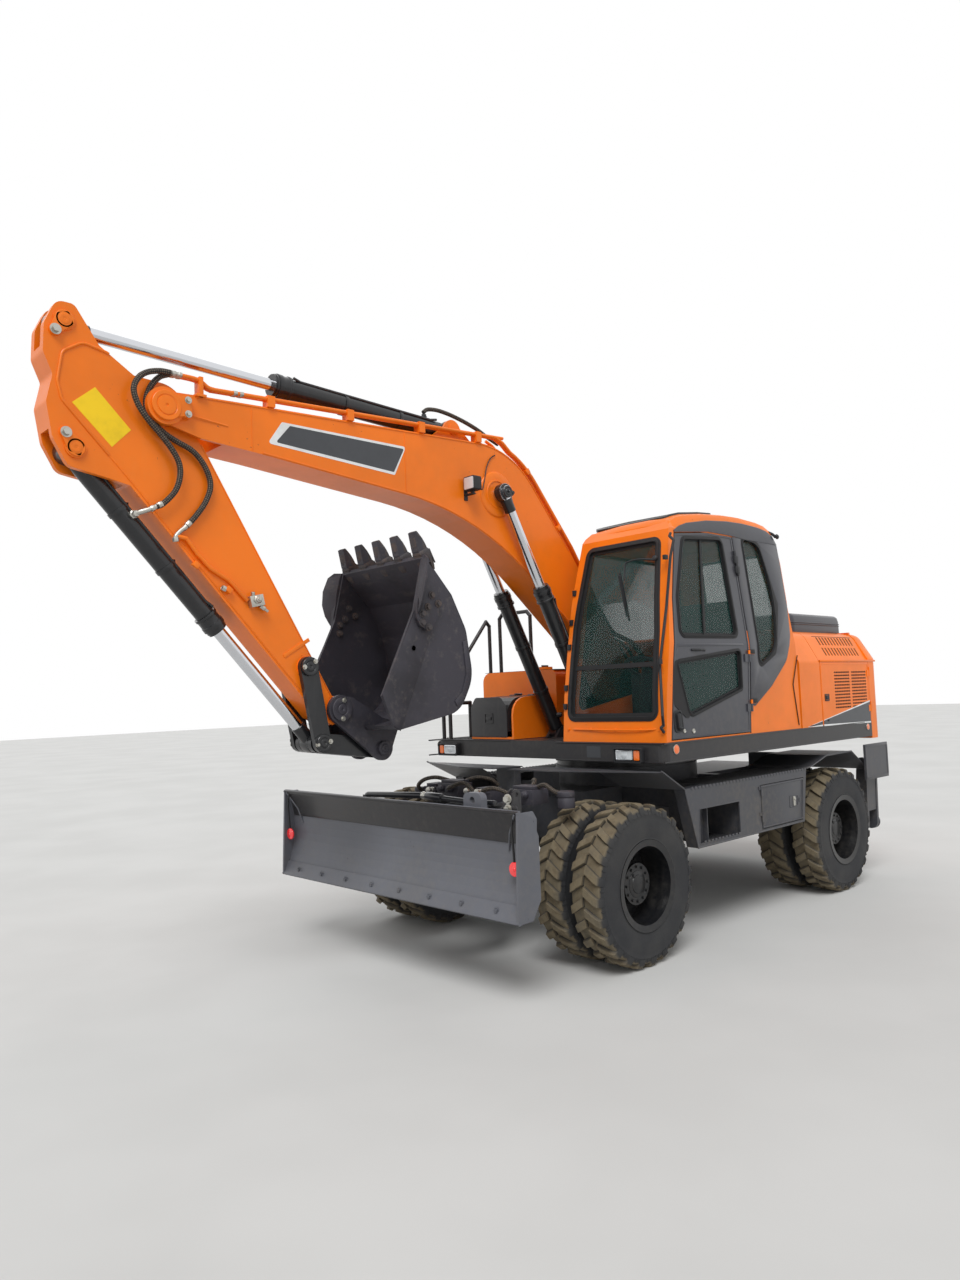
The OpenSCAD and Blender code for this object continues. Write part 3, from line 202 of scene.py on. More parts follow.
class Finish:
    # one material being built
    def __init__(self, name):
        self.material = bpy.data.materials.new(name)
        self.material.use_nodes = True
        self.tree = self.material.node_tree
        self.tree.nodes.clear()
        place = self.node("ShaderNodeTexCoord")
        self.place = Wire(self.tree, place.outputs["Object"])
        parts = self.node("ShaderNodeSeparateXYZ", Vector=self.place)
        self.x, self.y, self.z = (Wire(self.tree, parts.outputs[i]) for i in range(3))

    def node(self, kind, settings=None, order=(), **values):
        return addNode(self.tree, kind, settings, order, **values)

    def noise(self, scale, detail=3, rough=0.5, stretch=(1, 1, 1)):
        spread = self.node("ShaderNodeVectorMath", {"operation": "MULTIPLY"}, (self.place, stretch))
        made = self.node("ShaderNodeTexNoise", Vector=Wire(self.tree, spread.outputs[0]), Scale=scale, Detail=detail,
                         Roughness=rough)
        return Wire(self.tree, made.outputs["Fac"])

    def cells(self, scale):
        made = self.node("ShaderNodeTexVoronoi", {"feature": "DISTANCE_TO_EDGE"}, Vector=self.place, Scale=scale)
        return Wire(self.tree, made.outputs["Distance"])

    def blend(self, share, first, second):
        node = self.tree.nodes.new("ShaderNodeMix")
        node.data_type = "RGBA"
        for index, value in ((0, share), (6, first), (7, second)):
            if isinstance(value, Wire):
                self.tree.links.new(value.socket, node.inputs[index])
            else:
                node.inputs[index].default_value = value
        return Wire(self.tree, node.outputs[2])

    def attribute(self, name):
        made = self.node("ShaderNodeAttribute", {"attribute_name": name})
        return Wire(self.tree, made.outputs["Fac"])

    def bump(self, height, strength, distance=0.002):
        made = self.node("ShaderNodeBump", Height=height, Strength=strength, Distance=distance)
        return Wire(self.tree, made.outputs["Normal"])

    def close(self, **values):
        shader = self.node("ShaderNodeBsdfPrincipled", **values)
        self.node("ShaderNodeOutputMaterial", Surface=shader.outputs[0])
        return self.material


def paint(name, colour, dusty, gloss, dust, coat=0.0, low=0.0, bumps=0.12):
    # sprayed paint: cloudy tone, orange peel, and dust that settles more towards the ground
    f = Finish(name)
    clouds = f.noise(1.6, 4, 0.6)
    grains = f.noise(24, 5, 0.62)
    streaks = f.noise(5, 4, 0.6, (3, 3, 0.35))
    height = 1 - f.z.ramp(low, low + 1.5)
    settled = (grains * 0.5 + clouds * 0.5).ramp(0.42, 0.72) * (0.35 + height * 0.65) * dust
    mask = (settled + streaks.ramp(0.55, 0.8) * dust * 0.35).least(1.0)
    deep = tuple(c * 0.86 for c in colour[:3]) + (1.0,)
    base = f.blend(clouds.ramp(0.35, 0.7), colour, deep)
    chips = (f.noise(46, 2, 0.5) > 0.735) * (f.noise(3.1, 2, 0.5).ramp(0.55, 0.62)) * 0.6
    tone = f.blend(chips, f.blend(mask, base, dusty), linear(52, 48, 46))
    return f.close(Base_Color=tone, Roughness=gloss + mask * 0.35 + grains * 0.06, Specular_IOR_Level=0.32,
                   Coat_Weight=coat, Coat_Roughness=0.12,
                   Normal=f.bump(f.noise(420, 2, 0.5) + grains * 0.5, bumps, 0.0006))


def metal(name, colour, rough, shine=1.0, wear=0.2):
    f = Finish(name)
    marks = f.noise(60, 4, 0.6, (1, 1, 0.4))
    stain = f.noise(7, 4, 0.6).ramp(0.5, 0.8) * wear
    tone = f.blend(stain, colour, tuple(c * 0.55 for c in colour[:3]) + (1.0,))
    return f.close(Base_Color=tone, Metallic=shine, Roughness=rough + marks * 0.1 + stain * 0.3,
                   Normal=f.bump(marks, 0.08, 0.0005))


def plain(name, colour, rough, grain=160, bumps=0.15, coat=0.0):
    f = Finish(name)
    grains = f.noise(grain, 3, 0.6)
    clouds = f.noise(9, 3, 0.6)
    tone = f.blend(clouds.ramp(0.4, 0.75) * 0.5, colour, tuple(c * 0.7 for c in colour[:3]) + (1.0,))
    return f.close(Base_Color=tone, Roughness=rough + grains * 0.1, Coat_Weight=coat,
                   Normal=f.bump(grains, bumps, 0.0008))


def castSteel():
    # bucket steel: dark paint scuffed to bare metal along streaks
    f = Finish("wornSteel")
    clouds = f.noise(2.2, 4, 0.6)
    scrapes = f.noise(14, 5, 0.7, (1, 0.25, 1)).ramp(0.52, 0.78)
    grains = f.noise(90, 4, 0.6)
    base = f.blend(clouds.ramp(0.4, 0.7), linear(60, 58, 66), linear(44, 42, 48))
    tone = f.blend(scrapes * 0.5, base, linear(104, 98, 94))
    return f.close(Base_Color=tone, Roughness=0.46 + grains * 0.2, Metallic=0.15,
                   Normal=f.bump(grains + scrapes * 0.4, 0.2, 0.0012))


def toothSteel():
    f = Finish("toothSteel")
    grains = f.noise(120, 5, 0.7)
    rust = f.noise(18, 4, 0.6).ramp(0.42, 0.7)
    tone = f.blend(rust * 0.55, linear(66, 62, 64), linear(98, 82, 72))
    return f.close(Base_Color=tone, Roughness=0.62 + grains * 0.2, Normal=f.bump(grains, 0.35, 0.0015))


def rubber():
    # tyre rubber, with dried tan mud where the mesh says it meets the ground
    f = Finish("tyreRubber")
    ground = f.attribute("mud")
    grains = f.noise(60, 5, 0.65)
    clouds = f.noise(11, 4, 0.6)
    dust = f.noise(3.5, 3, 0.5).ramp(0.35, 0.75) * 0.28
    mask = (ground * (0.55 + clouds.ramp(0.3, 0.62) * 0.6)).least(1.0)
    base = f.blend(dust, linear(38, 39, 42), linear(86, 84, 80))
    mud = f.blend(clouds.ramp(0.35, 0.7), linear(128, 116, 92), linear(96, 85, 66))
    tone = f.blend(mask, base, mud)
    return f.close(Base_Color=tone, Roughness=0.74 + grains * 0.15, Normal=f.bump(grains + clouds * 0.6, 0.4, 0.002))


def clearGlass():
    f = Finish("cabGlass")
    edge = f.node("ShaderNodeFresnel", IOR=1.5)
    haze = f.noise(5, 3, 0.5).ramp(0.45, 0.8)
    cover = (0.1 + Wire(f.tree, edge.outputs[0]) * 0.7 + haze * 0.03).least(1.0)
    return f.close(Base_Color=(0.03, 0.085, 0.075, 1), Roughness=0.02 + haze * 0.03, Alpha=cover, Coat_Weight=0.6,
                   Coat_Roughness=0.01)


def braidedHose():
    # fabric braid over the rubber, wound along the hose's own UV
    f = Finish("braidedHose")
    uv = f.node("ShaderNodeUVMap", {"uv_map": "along"})
    parts = f.node("ShaderNodeSeparateXYZ", Vector=Wire(f.tree, uv.outputs[0]))
    run, turn = (Wire(f.tree, parts.outputs[i]) for i in range(2))
    first = (run * 260 + turn * 25.13).sine()
    second = (run * 260 - turn * 25.13).sine()
    weave = (first * second).ramp(-0.2, 0.8)
    flecks = f.noise(160, 3, 0.6)
    tone = f.blend(weave * flecks.ramp(0.3, 0.6), linear(20, 19, 20), linear(132, 116, 98))
    return f.close(Base_Color=tone, Roughness=0.75, Normal=f.bump(weave, 0.5, 0.001))


def lampGlass(name, colour, paintedGlow):
    f = Finish(name)
    ribs = (f.y * 520).sine() * 0.5 + 0.5
    # the lighter stripes along the ribs are painted glints; the same ribs give the lens its bumps
    tone = f.blend(ribs * 0.35, colour, tuple(min(1.0, c * 1.6 + 0.03) for c in colour[:3]) + (1.0,))
    # the emission is painted light: the amber and red reflectors glow with it though they are no lamps, and the amber
    # turn lenses share it
    return f.close(Base_Color=tone, Roughness=0.08, Coat_Weight=1.0, Emission_Color=colour, Emission_Strength=paintedGlow,
                   Normal=f.bump(ribs, 0.35, 0.001))


def gritStrip():
    f = Finish("gripBlack")
    dots = f.cells(260).ramp(0.0, 0.2)
    return f.close(Base_Color=f.blend(dots, linear(40, 40, 42), linear(20, 20, 22)), Roughness=0.8,
                   Normal=f.bump(dots, 0.6, 0.0015))


lightStudio()
finishes = {
    "orange": paint("orangePaint", linear(250, 124, 18), linear(226, 138, 62), 0.34, 0.3, 0.12, 0.9),
    "grey": paint("greyPaint", linear(70, 71, 76), linear(126, 118, 106), 0.4, 0.4, 0.15, 0.3),
    "bladeGrey": paint("bladeGrey", linear(98, 100, 107), linear(132, 126, 116), 0.42, 0.22, 0.1, 0.3),
    "black": paint("blackPaint", linear(43, 42, 44), linear(104, 98, 90), 0.36, 0.32, 0.2, 0.3),
    "doorGrey": paint("doorGrey", linear(64, 65, 72), linear(120, 114, 106), 0.34, 0.22, 0.3, 1.2),
    "barrel": paint("barrelBlack", linear(30, 31, 34), linear(92, 88, 84), 0.26, 0.2, 0.4, 0.6),
    "rim": paint("rimBlack", linear(22, 23, 26), linear(80, 76, 70), 0.32, 0.3, 0.3, 0.2),
    "chrome": metal("chromeRod", linear(214, 216, 220), 0.1, 1.0, 0.1),
    "zinc": metal("zincPlate", linear(188, 186, 178), 0.28, 0.9, 0.4),
    "cast": castSteel(),
    "tooth": toothSteel(),
    "rubber": rubber(),
    "glass": clearGlass(),
    "hose": braidedHose(),
    "seal": plain("rubberSeal", linear(22, 22, 24), 0.6, 220),
    "plastic": plain("blackPlastic", linear(34, 35, 38), 0.55, 300),
    "cloth": plain("seatCloth", linear(46, 48, 54), 0.9, 500, 0.5),
    # amber and red glow by emission, painted light on the reflectors that wear them
    "lens": lampGlass("lampLens", linear(196, 202, 206), 0.0),
    "amber": lampGlass("amberLens", linear(232, 104, 8), 0.1),
    "red": lampGlass("redReflector", linear(226, 30, 36), 0.2),
    "grip": gritStrip(),
    "plateDark": plain("darkPlate", linear(52, 55, 60), 0.35, 300, 0.05, 0.3),
    "plateWhite": plain("whitePlate", linear(232, 234, 234), 0.4, 300, 0.05),
    "plateYellow": plain("yellowPlate", linear(250, 208, 12), 0.4, 300, 0.05),
    # near-black: painted shade inside the hood's slots and the service doors' slots, and the dark line of the hood's
    # seam
    "void": plain("ventShadow", linear(16, 15, 15), 0.9, 100),
}
usualSlots = {"orange": "orange_paint", "grey": "grey_paint", "bladeGrey": "grey_paint", "zinc": "chrome",
              "chrome": "chrome", "cast": "cast_metal", "tooth": "cast_metal", "lens": "lamp", "amber": "lamp",
              "red": "lamp"}
print("finishes built:", len(finishes))


def slotOf(finish):
    # the slot name for a piece of this finish, unless its call names another
    return usualSlots.get(finish, "black_paint")


# shapes in machine millimetres
def cornered(points, steps=6):
    # outline corners [u, v, radius] drawn as arcs
    out = []
    for i, q in enumerate(points):
        p, r = Vector(points[i - 1][:2]), Vector(points[(i + 1) % len(points)][:2])
        c = Vector(q[:2])
        if len(q) < 3 or not q[2]:
            out.append(tuple(c))
            continue
        a, b = (p - c).normalized(), (r - c).normalized()
        half = acos(max(-1, min(1, a.dot(b)))) / 2
        reach = q[2] / tan(half)
        centre = c + (a + b).normalized() * q[2] / sin(half)
        start, stop = c + a * reach - centre, c + b * reach - centre
        turn = start.angle_signed(stop, 0)
        for k in range(steps + 1):
            t = -turn * k / steps
            out.append((centre.x + start.x * cos(t) - start.y * sin(t),
                        centre.y + start.x * sin(t) + start.y * cos(t)))
    return out


def rounded(u0, v0, u1, v1, radius, steps=6):
    return cornered([(u0, v0, radius), (u1, v0, radius), (u1, v1, radius), (u0, v1, radius)], steps)


def grown(outline, d):
    # the outline moved outwards by d
    n = len(outline)
    area = sum(outline[i - 1][0] * outline[i][1] - outline[i][0] * outline[i - 1][1] for i in range(n))
    side = 1 if area > 0 else -1
    out = []
    for i in range(n):
        p, q, r = Vector(outline[i - 1]), Vector(outline[i]), Vector(outline[(i + 1) % n])
        u, v = (q - p), (r - q)
        if u.length < 1e-6 or v.length < 1e-6:
            continue
        u.normalize()
        v.normalize()
        m = Vector((u.y, -u.x)) + Vector((v.y, -v.x))
        scale = d * side * 2 / max(0.4, m.length_squared)
        out.append(tuple(q + m * scale))
    return out


def arcPath(points, radius, steps=6):
    # straight runs with bends of the given radius
    pts = [Vector(p) for p in points]
    out = [pts[0]]
    for i in range(1, len(pts) - 1):
        p, c, r = pts[i - 1], pts[i], pts[i + 1]
        a, b = (p - c).normalized(), (r - c).normalized()
        half = a.angle(b) / 2
        reach = min(radius / tan(half), (p - c).length * 0.48, (r - c).length * 0.48)
        size = reach * tan(half)
        centre = c + (a + b).normalized() * size / sin(half) if (a + b).length > 1e-4 else c
        if (a + b).length < 1e-4:
            out.append(c)
            continue
        s, e = c + a * reach - centre, c + b * reach - centre
        for k in range(steps + 1):
            out.append(centre + s.slerp(e, k / steps))
    out.append(pts[-1])
    return out


def loosePath(points, steps=8):
    # a smooth curve through the points
    pts = [Vector(p) for p in points]
    pts = [2 * pts[0] - pts[1]] + pts + [2 * pts[-1] - pts[-2]]
    out = []
    for i in range(1, len(pts) - 2):
        p0, p1, p2, p3 = pts[i - 1:i + 3]
        for k in range(steps):
            t = k / steps
            out.append(0.5 * (2 * p1 + (p2 - p0) * t + (2 * p0 - 5 * p1 + 4 * p2 - p3) * t * t
                              + (3 * p1 - p0 - 3 * p2 + p3) * t * t * t))
    out.append(pts[-2])
    return out


class Shape:
    # gathers forms in machine millimetres and becomes one piece
    def __init__(self):
        self.bm = bmesh.new()
        self.uv = self.bm.loops.layers.uv.new("along")
        self.mud = self.bm.verts.layers.float.new("mud")

    def faces(self, verts, faces):
        made = [self.bm.verts.new(v) for v in verts]
        out = []
        for f in faces:
            try:
                out.append(self.bm.faces.new([made[i] for i in f]))
            except ValueError:
                pass
        return made, out

    def box(self, low, high, about=None, turn=0, axis=(0, 1, 0)):
        corners = [Vector((x, y, z)) for x in (low[0], high[0]) for y in (low[1], high[1]) for z in (low[2], high[2])]
        if turn:
            pivot = Vector(about)
            spin = Quaternion(axis, radians(turn))
            corners = [pivot + spin @ (c - pivot) for c in corners]
        self.faces(corners, [(0, 1, 3, 2), (4, 6, 7, 5), (0, 4, 5, 1), (2, 3, 7, 6), (0, 2, 6, 4), (1, 5, 7, 3)])
        return self

    def rings(self, rings, capped=True, closed=False):
        n = len(rings[0])
        verts = [v for ring in rings for v in ring]
        faces = []
        last = len(rings) if closed else len(rings) - 1
        for i in range(last):
            for k in range(n):
                a, b = i * n + k, i * n + (k + 1) % n
                c, d = ((i + 1) % len(rings)) * n + (k + 1) % n, ((i + 1) % len(rings)) * n + k
                faces.append((a, b, c, d))
        if capped and not closed:
            faces.append(tuple(range(n))[::-1])
            faces.append(tuple(range((len(rings) - 1) * n, len(rings) * n)))
        return self.faces(verts, faces)

    def turned(self, base, axis, profile, steps=40, closed=False):
        # profile of (radius, height along the axis), open at the axis only where a radius is 0
        along = Vector(axis).normalized()
        side = along.orthogonal().normalized()
        other = along.cross(side)
        base = Vector(base)
        rings = []
        for radius, height in profile:
            rings.append([base + along * height + (side * cos(2 * pi * k / steps)
                          + other * sin(2 * pi * k / steps)) * radius for k in range(steps)])
        self.rings(rings, not closed, closed)
        return self

    def tube(self, path, radius, steps=12):
        pts = [Vector(p) for p in path]
        pts = [p for i, p in enumerate(pts) if i == 0 or (p - pts[i - 1]).length > 0.01]
        heading = (pts[1] - pts[0]).normalized()
        side = heading.orthogonal().normalized()
        rings, runs, run = [], [], 0.0
        for i, p in enumerate(pts):
            ahead = (pts[min(i + 1, len(pts) - 1)] - pts[max(i - 1, 0)]).normalized()
            side = heading.rotation_difference(ahead) @ side
            side = (side - ahead * side.dot(ahead)).normalized()
            heading = ahead
            other = ahead.cross(side)
            rings.append([p + (side * cos(2 * pi * k / steps) + other * sin(2 * pi * k / steps))
                          * radius for k in range(steps)])
            run += 0 if i == 0 else (p - pts[i - 1]).length
            runs.append(run)
        sides = self.rings(rings)[1]
        for index, f in enumerate(sides[:(len(pts) - 1) * steps]):
            i, k = divmod(index, steps)
            for loop, (u, v) in zip(f.loops, ((i, k), (i, k + 1), (i + 1, k + 1), (i + 1, k))):
                loop[self.uv].uv = (runs[u] / 1000, v / steps)
        return self

    def plate(self, outer, holes, place, low, high, folds=()):
        # a sheet between heights low and high over a surface, place(u, v, height)
        loops = [outer] + list(holes)
        flat = [Vector((u, v, 0)) for loop in loops for u, v in loop]
        ids = tessellate_polygon([[Vector((u, v, 0)) for u, v in loop] for loop in loops])
        bm = bmesh.new()
        verts = [bm.verts.new(v) for v in flat]
        for tri in ids:
            if len(set(tri)) == 3:
                try:
                    bm.faces.new([verts[i] for i in tri])
                except ValueError:
                    pass
        for fold in folds:
            geometry = list(bm.verts) + list(bm.edges) + list(bm.faces)
            bmesh.ops.bisect_plane(bm, geom=geometry, plane_co=(0, fold, 0), plane_no=(0, 1, 0), dist=0.01)
        bmesh.ops.remove_doubles(bm, verts=bm.verts, dist=0.02)
        bm.verts.index_update()
        pts = [v.co.copy() for v in bm.verts]
        tops = [place(p.x, p.y, high) for p in pts]
        bottoms = [place(p.x, p.y, low) for p in pts]
        n = len(pts)
        faces = []
        for f in bm.faces:
            ring = [v.index for v in f.verts]
            faces.append(tuple(ring))
            faces.append(tuple(i + n for i in reversed(ring)))
        for e in bm.edges:
            if len(e.link_faces) == 1:
                a, b = e.verts[0].index, e.verts[1].index
                faces.append((a, b, b + n, a + n))
        bm.free()
        self.faces([Vector(t) for t in tops] + [Vector(b) for b in bottoms], faces)
        return self

    def finish(self, name, finish, body=None, bevel=0.0, slotName=None, angle=38):
        # normals, finish, softened edges, and the body that the piece rides on
        bmesh.ops.recalc_face_normals(self.bm, faces=self.bm.faces)
        self.bm.transform(toFrame)
        mesh = bpy.data.meshes.new(name)
        self.bm.to_mesh(mesh)
        self.bm.free()
        mesh.materials.append(finishes[finish])
        piece = placed(name, mesh)
        if bevel:
            soft = piece.modifiers.new("edge", "BEVEL")
            soft.width = bevel / 1000
            soft.segments = 2
            soft.limit_method = "ANGLE"
            soft.angle_limit = radians(32)
            baked(piece)
        smoothed(piece.data, angle)
        if body:
            slotName = slotName or slotOf(finish)
            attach(piece, body)
        return piece


def baked(piece):
    depsgraph = bpy.context.evaluated_depsgraph_get()
    mesh = bpy.data.meshes.new_from_object(piece.evaluated_get(depsgraph))
    piece.modifiers.clear()
    old = piece.data
    piece.data = mesh
    bpy.data.meshes.remove(old)


# trees that repeat a form
def treeOf(name, sockets):
    tree = bpy.data.node_groups.new(name, "GeometryNodeTree")
    tree.interface.new_socket("Geometry", in_out="INPUT", socket_type="NodeSocketGeometry")
    for label, kind in sockets:
        tree.interface.new_socket(label, in_out="INPUT", socket_type="NodeSocket" + kind)
    tree.interface.new_socket("Geometry", in_out="OUTPUT", socket_type="NodeSocketGeometry")
    return tree


def ringTree():
    # the given form, repeated Count times round an axis
    tree = treeOf("formsInRing", [("Count", "Int"), ("Pivot", "Vector"), ("Axis", "Vector"),
                                  ("Material", "Material")])
    given = addNode(tree, "NodeGroupInput").outputs
    back = addNode(tree, "ShaderNodeVectorMath", {"operation": "SCALE"}, (given["Pivot"],), Scale=-1.0)
    form = addNode(tree, "GeometryNodeTransform", Geometry=given["Geometry"], Translation=back.outputs[0])
    places = addNode(tree, "GeometryNodeMeshLine", Count=given["Count"], Offset=(0, 0, 0))
    index = addNode(tree, "GeometryNodeInputIndex")
    share = addNode(tree, "ShaderNodeMath", {"operation": "DIVIDE"}, (index.outputs[0], given["Count"]))
    angle = addNode(tree, "ShaderNodeMath", {"operation": "MULTIPLY"}, (share.outputs[0], 2 * pi))
    turn = addNode(tree, "FunctionNodeAxisAngleToRotation", Axis=given["Axis"], Angle=angle.outputs[0])
    copies = addNode(tree, "GeometryNodeInstanceOnPoints", Points=places.outputs[0], Instance=form.outputs[0],
                       Rotation=turn.outputs[0])
    real = addNode(tree, "GeometryNodeRealizeInstances", Geometry=copies.outputs[0])
    forth = addNode(tree, "GeometryNodeTransform", Geometry=real.outputs[0], Translation=given["Pivot"])
    clad = addNode(tree, "GeometryNodeSetMaterial", Geometry=forth.outputs[0], Material=given["Material"])
    addNode(tree, "NodeGroupOutput", None, (clad.outputs[0],))
    return tree


def boltTree():
    # a hexagon head on a washer at each point, standing along the point's own direction
    tree = treeOf("boltsOnPoints", [("Head", "Float"), ("Height", "Float"), ("Washer", "Float"), ("Plate", "Float"),
                                    ("Material", "Material")])
    given = addNode(tree, "NodeGroupInput").outputs

    def disc(sides, radius, depth, base):
        solid = addNode(tree, "GeometryNodeMeshCylinder", Vertices=sides, Radius=radius, Depth=depth)
        half = addNode(tree, "ShaderNodeMath", {"operation": "MULTIPLY_ADD"}, (depth, 0.5, base))
        lift = addNode(tree, "ShaderNodeCombineXYZ", Z=half.outputs[0])
        return addNode(tree, "GeometryNodeTransform", Geometry=solid.outputs[0],
                       Translation=lift.outputs[0]).outputs[0]

    both = addNode(tree, "GeometryNodeJoinGeometry")
    tree.links.new(disc(6, given["Head"], given["Height"], given["Plate"]), both.inputs[0])
    tree.links.new(disc(20, given["Washer"], given["Plate"], 0.0), both.inputs[0])
    facing = addNode(tree, "GeometryNodeInputNamedAttribute", {"data_type": "FLOAT_VECTOR"}, Name="facing")
    turn = addNode(tree, "FunctionNodeAlignRotationToVector", {"axis": "Z"}, Vector=facing.outputs[0])
    copies = addNode(tree, "GeometryNodeInstanceOnPoints", Points=given["Geometry"], Instance=both.outputs[0],
                       Rotation=turn.outputs[0])
    real = addNode(tree, "GeometryNodeRealizeInstances", Geometry=copies.outputs[0])
    clad = addNode(tree, "GeometryNodeSetMaterial", Geometry=real.outputs[0], Material=given["Material"])
    addNode(tree, "NodeGroupOutput", None, (clad.outputs[0],))
    return tree


trees = {"ring": ringTree(), "bolts": boltTree()}


def grow(piece, treeName, **values):
    # runs a tree on the piece and keeps the plain mesh it makes
    tree = trees[treeName]
    run = piece.modifiers.new(treeName, "NODES")
    run.node_group = tree
    for item in tree.interface.items_tree:
        if item.in_out == "INPUT" and item.name in values:
            run[item.identifier] = values[item.name]
    baked(piece)
    return piece


def ringOf(shape, count, pivot, axis, name, finish, body):
    piece = shape.finish(name, finish)
    grow(piece, "ring", Count=count, Pivot=at(*pivot), Axis=axis, Material=finishes[finish])
    smoothed(piece.data)
    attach(piece, body)


def bolts(name, places, facing, size, body, finish="zinc"):
    # size is the spanner width; places lie on the surface that the bolts press on
    mesh = bpy.data.meshes.new(name)
    mesh.from_pydata([at(*p) for p in places], [], [])
    data = mesh.attributes.new("facing", "FLOAT_VECTOR", "POINT")
    rows = facing if isinstance(facing, list) else [facing] * len(places)
    data.data.foreach_set("vector", [c for row in rows for c in row])
    piece = placed(name, mesh)
    grow(piece, "bolts", Head=size * 0.577 / 1000, Height=size * 0.55 / 1000, Washer=size * 0.85 / 1000,
         Plate=size * 0.14 / 1000, Material=finishes[finish])
    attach(piece, body)


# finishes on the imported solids
solidFinish = {
    "orange": ["counterweight", "rear_body", "engine_hood", "service_door_left", "service_door_right", "cab_shell",
               "toolbox", "tank", "boom", "boom_lines", "arm"],
    "bladeGrey": ["blade"],
    "grey": ["chassis_frame", "side_steps", "fenders", "locker_door", "blade_arms", "blade_links",
             "outrigger_leg_left", "outrigger_leg_right", "outrigger_pad_left", "outrigger_pad_right"],
    "black": ["slew_ring", "front_axle", "rear_axle", "driveline", "knuckle_left", "knuckle_right", "upper_frame",
              "handrails", "toolbox_lid", "engine"],
    "doorGrey": ["cab_door"],
    "barrel": ["blade_barrels", "outrigger_barrel_left", "outrigger_barrel_right", "boom_barrels", "arm_barrel",
               "bucket_barrel", "bucket_link", "side_links"],
    "chrome": ["blade_rods", "outrigger_rod_left", "outrigger_rod_right", "boom_rods", "arm_rod", "bucket_rod"],
    "rim": ["rims_front_left", "rims_front_right", "rims_rear_left", "rims_rear_right"],
    "rubber": ["tyres_front_left", "tyres_front_right", "tyres_rear_left", "tyres_rear_right"],
    "glass": ["cab_glass", "door_glass"],
    "cloth": ["cab_interior"],
    "plastic": ["lamps"],
    "cast": ["bucket"],
}
for key, names in solidFinish.items():
    for name in names:
        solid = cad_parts[name]
        for place in solid.material_slots:
            place.material = finishes[key]
print("solids clad")

# wheels
wheel = {"axleX": 1425, "axleZ": 525, "outerY": 1122, "innerY": 802, "tip": 525,
         "lugs": 24, "skew": 0.62, "lugWidth": 60, "phase": 38.7, "ribs": 72,
         # half section of the wall (radius, across), and of a lug (across, top, low, narrowing)
         "wall": [(262, -92), (262, -108), (280, -113), (296, -117), (300, -121), (306, -118),
                  (340, -123), (385, -125),
                  (425, -124), (452, -121), (456, -122.5), (462, -120), (478, -115), (492, -108), (497, -96)],
         "lug": [(5, 525, 500, 0), (46, 525, 498, 0), (84, 524, 496, 0), (104, 519, 490, -2), (117, 503, 484, -6),
                 (122.5, 470, 462, -12)]}


def roundWheel(radius, turn, y, x, side):
    # a place on a wheel: radius, distance round the rim, and y from the machine's middle
    angle = turn / wheel["tip"]
    return Vector((x + radius * sin(angle), side * y, wheel["axleZ"] + radius * cos(angle)))


def carcass(shape, x, y, side):
    profile = wheel["wall"] + [(498, -50), (498, 50)] + [(r, -h) for r, h in reversed(wheel["wall"])]
    profile += [(470, 90), (470, -90)]
    before = set(shape.bm.verts)
    shape.turned((x, side * y, wheel["axleZ"]), (0, 1, 0), profile, 96, True)
    for v in shape.bm.verts:
        if v not in before:
            v[shape.mud] = 0.85 if hypot(v.co.x - x, v.co.z - wheel["axleZ"]) > 488 else 0.0
    return shape


def lug(shape, x, y, side, hand):
    # one tread block from the middle of the crown down over the shoulder
    w = wheel["lugWidth"]
    rings = []
    for out, top, low, narrow in wheel["lug"]:
        start = -0.5 * w + out * wheel["skew"] - wheel["phase"]
        a, b = start - 3, start + w + narrow + 3
        c, d = start + w + narrow - 4, start + 4
        offset = hand * out
        shift = 0 if hand > 0 else pi * wheel["tip"] / wheel["lugs"]
        rings.append([roundWheel(radius, turn + shift, y + offset, x, side)
                      for radius, turn in ((low, a), (low, b), (top, c), (top, d))])
    for v in shape.rings(rings)[0]:
        radius = hypot(v.co.x - x, v.co.z - wheel["axleZ"])
        v[shape.mud] = max(0.0, min(1.0, (radius - 502) / 20))
    return shape


def tyrePair(x, side, body, node):
    shape = Shape()
    for y in (wheel["outerY"], wheel["innerY"]):
        carcass(shape, x, y, side)
    tread = Shape()
    for y in (wheel["outerY"], wheel["innerY"]):
        for hand in (1, -1):
            lug(tread, x, y, side, hand)
    ribs = Shape()
    for y in (wheel["outerY"], wheel["innerY"]):
        for hand in (1, -1):
            ribs.rings([[roundWheel(r, s, y + hand * h, x, side) for r, s, h in section] for section in (
                ((452, -6, 119), (452, 6, 119), (486, 6, 108), (486, -6, 108)),
                ((454, -4, 124.5), (454, 4, 124.5), (484, 4, 118), (484, -4, 118)))])
    parts = [shape.finish(node + "Carcass", "rubber")]
    for form, count, label in ((tread, wheel["lugs"], "Lugs"), (ribs, wheel["ribs"], "Ribs")):
        piece = form.finish(node + label, "rubber")
        grow(piece, "ring", Count=count, Pivot=at(x, 0, wheel["axleZ"]), Axis=(0, 1, 0), Material=finishes["rubber"])
        parts.append(piece)
    whole = bmesh.new()
    for part in parts:
        whole.from_mesh(part.data)
    mesh = bpy.data.meshes.new(node + "Tread")
    whole.to_mesh(mesh)
    whole.free()
    for part in parts:
        bpy.data.objects.remove(part)
    mesh.materials.clear()
    mesh.materials.append(finishes["rubber"])
    smoothed(mesh, 32)
    piece = placed(node + "Tread", mesh)
    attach(piece, body)
    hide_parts(node)


hub = {"dish": 1029, "nutCircle": 168, "nuts": 10, "cap": 1152, "capBolts": 12, "capCircle": 112}


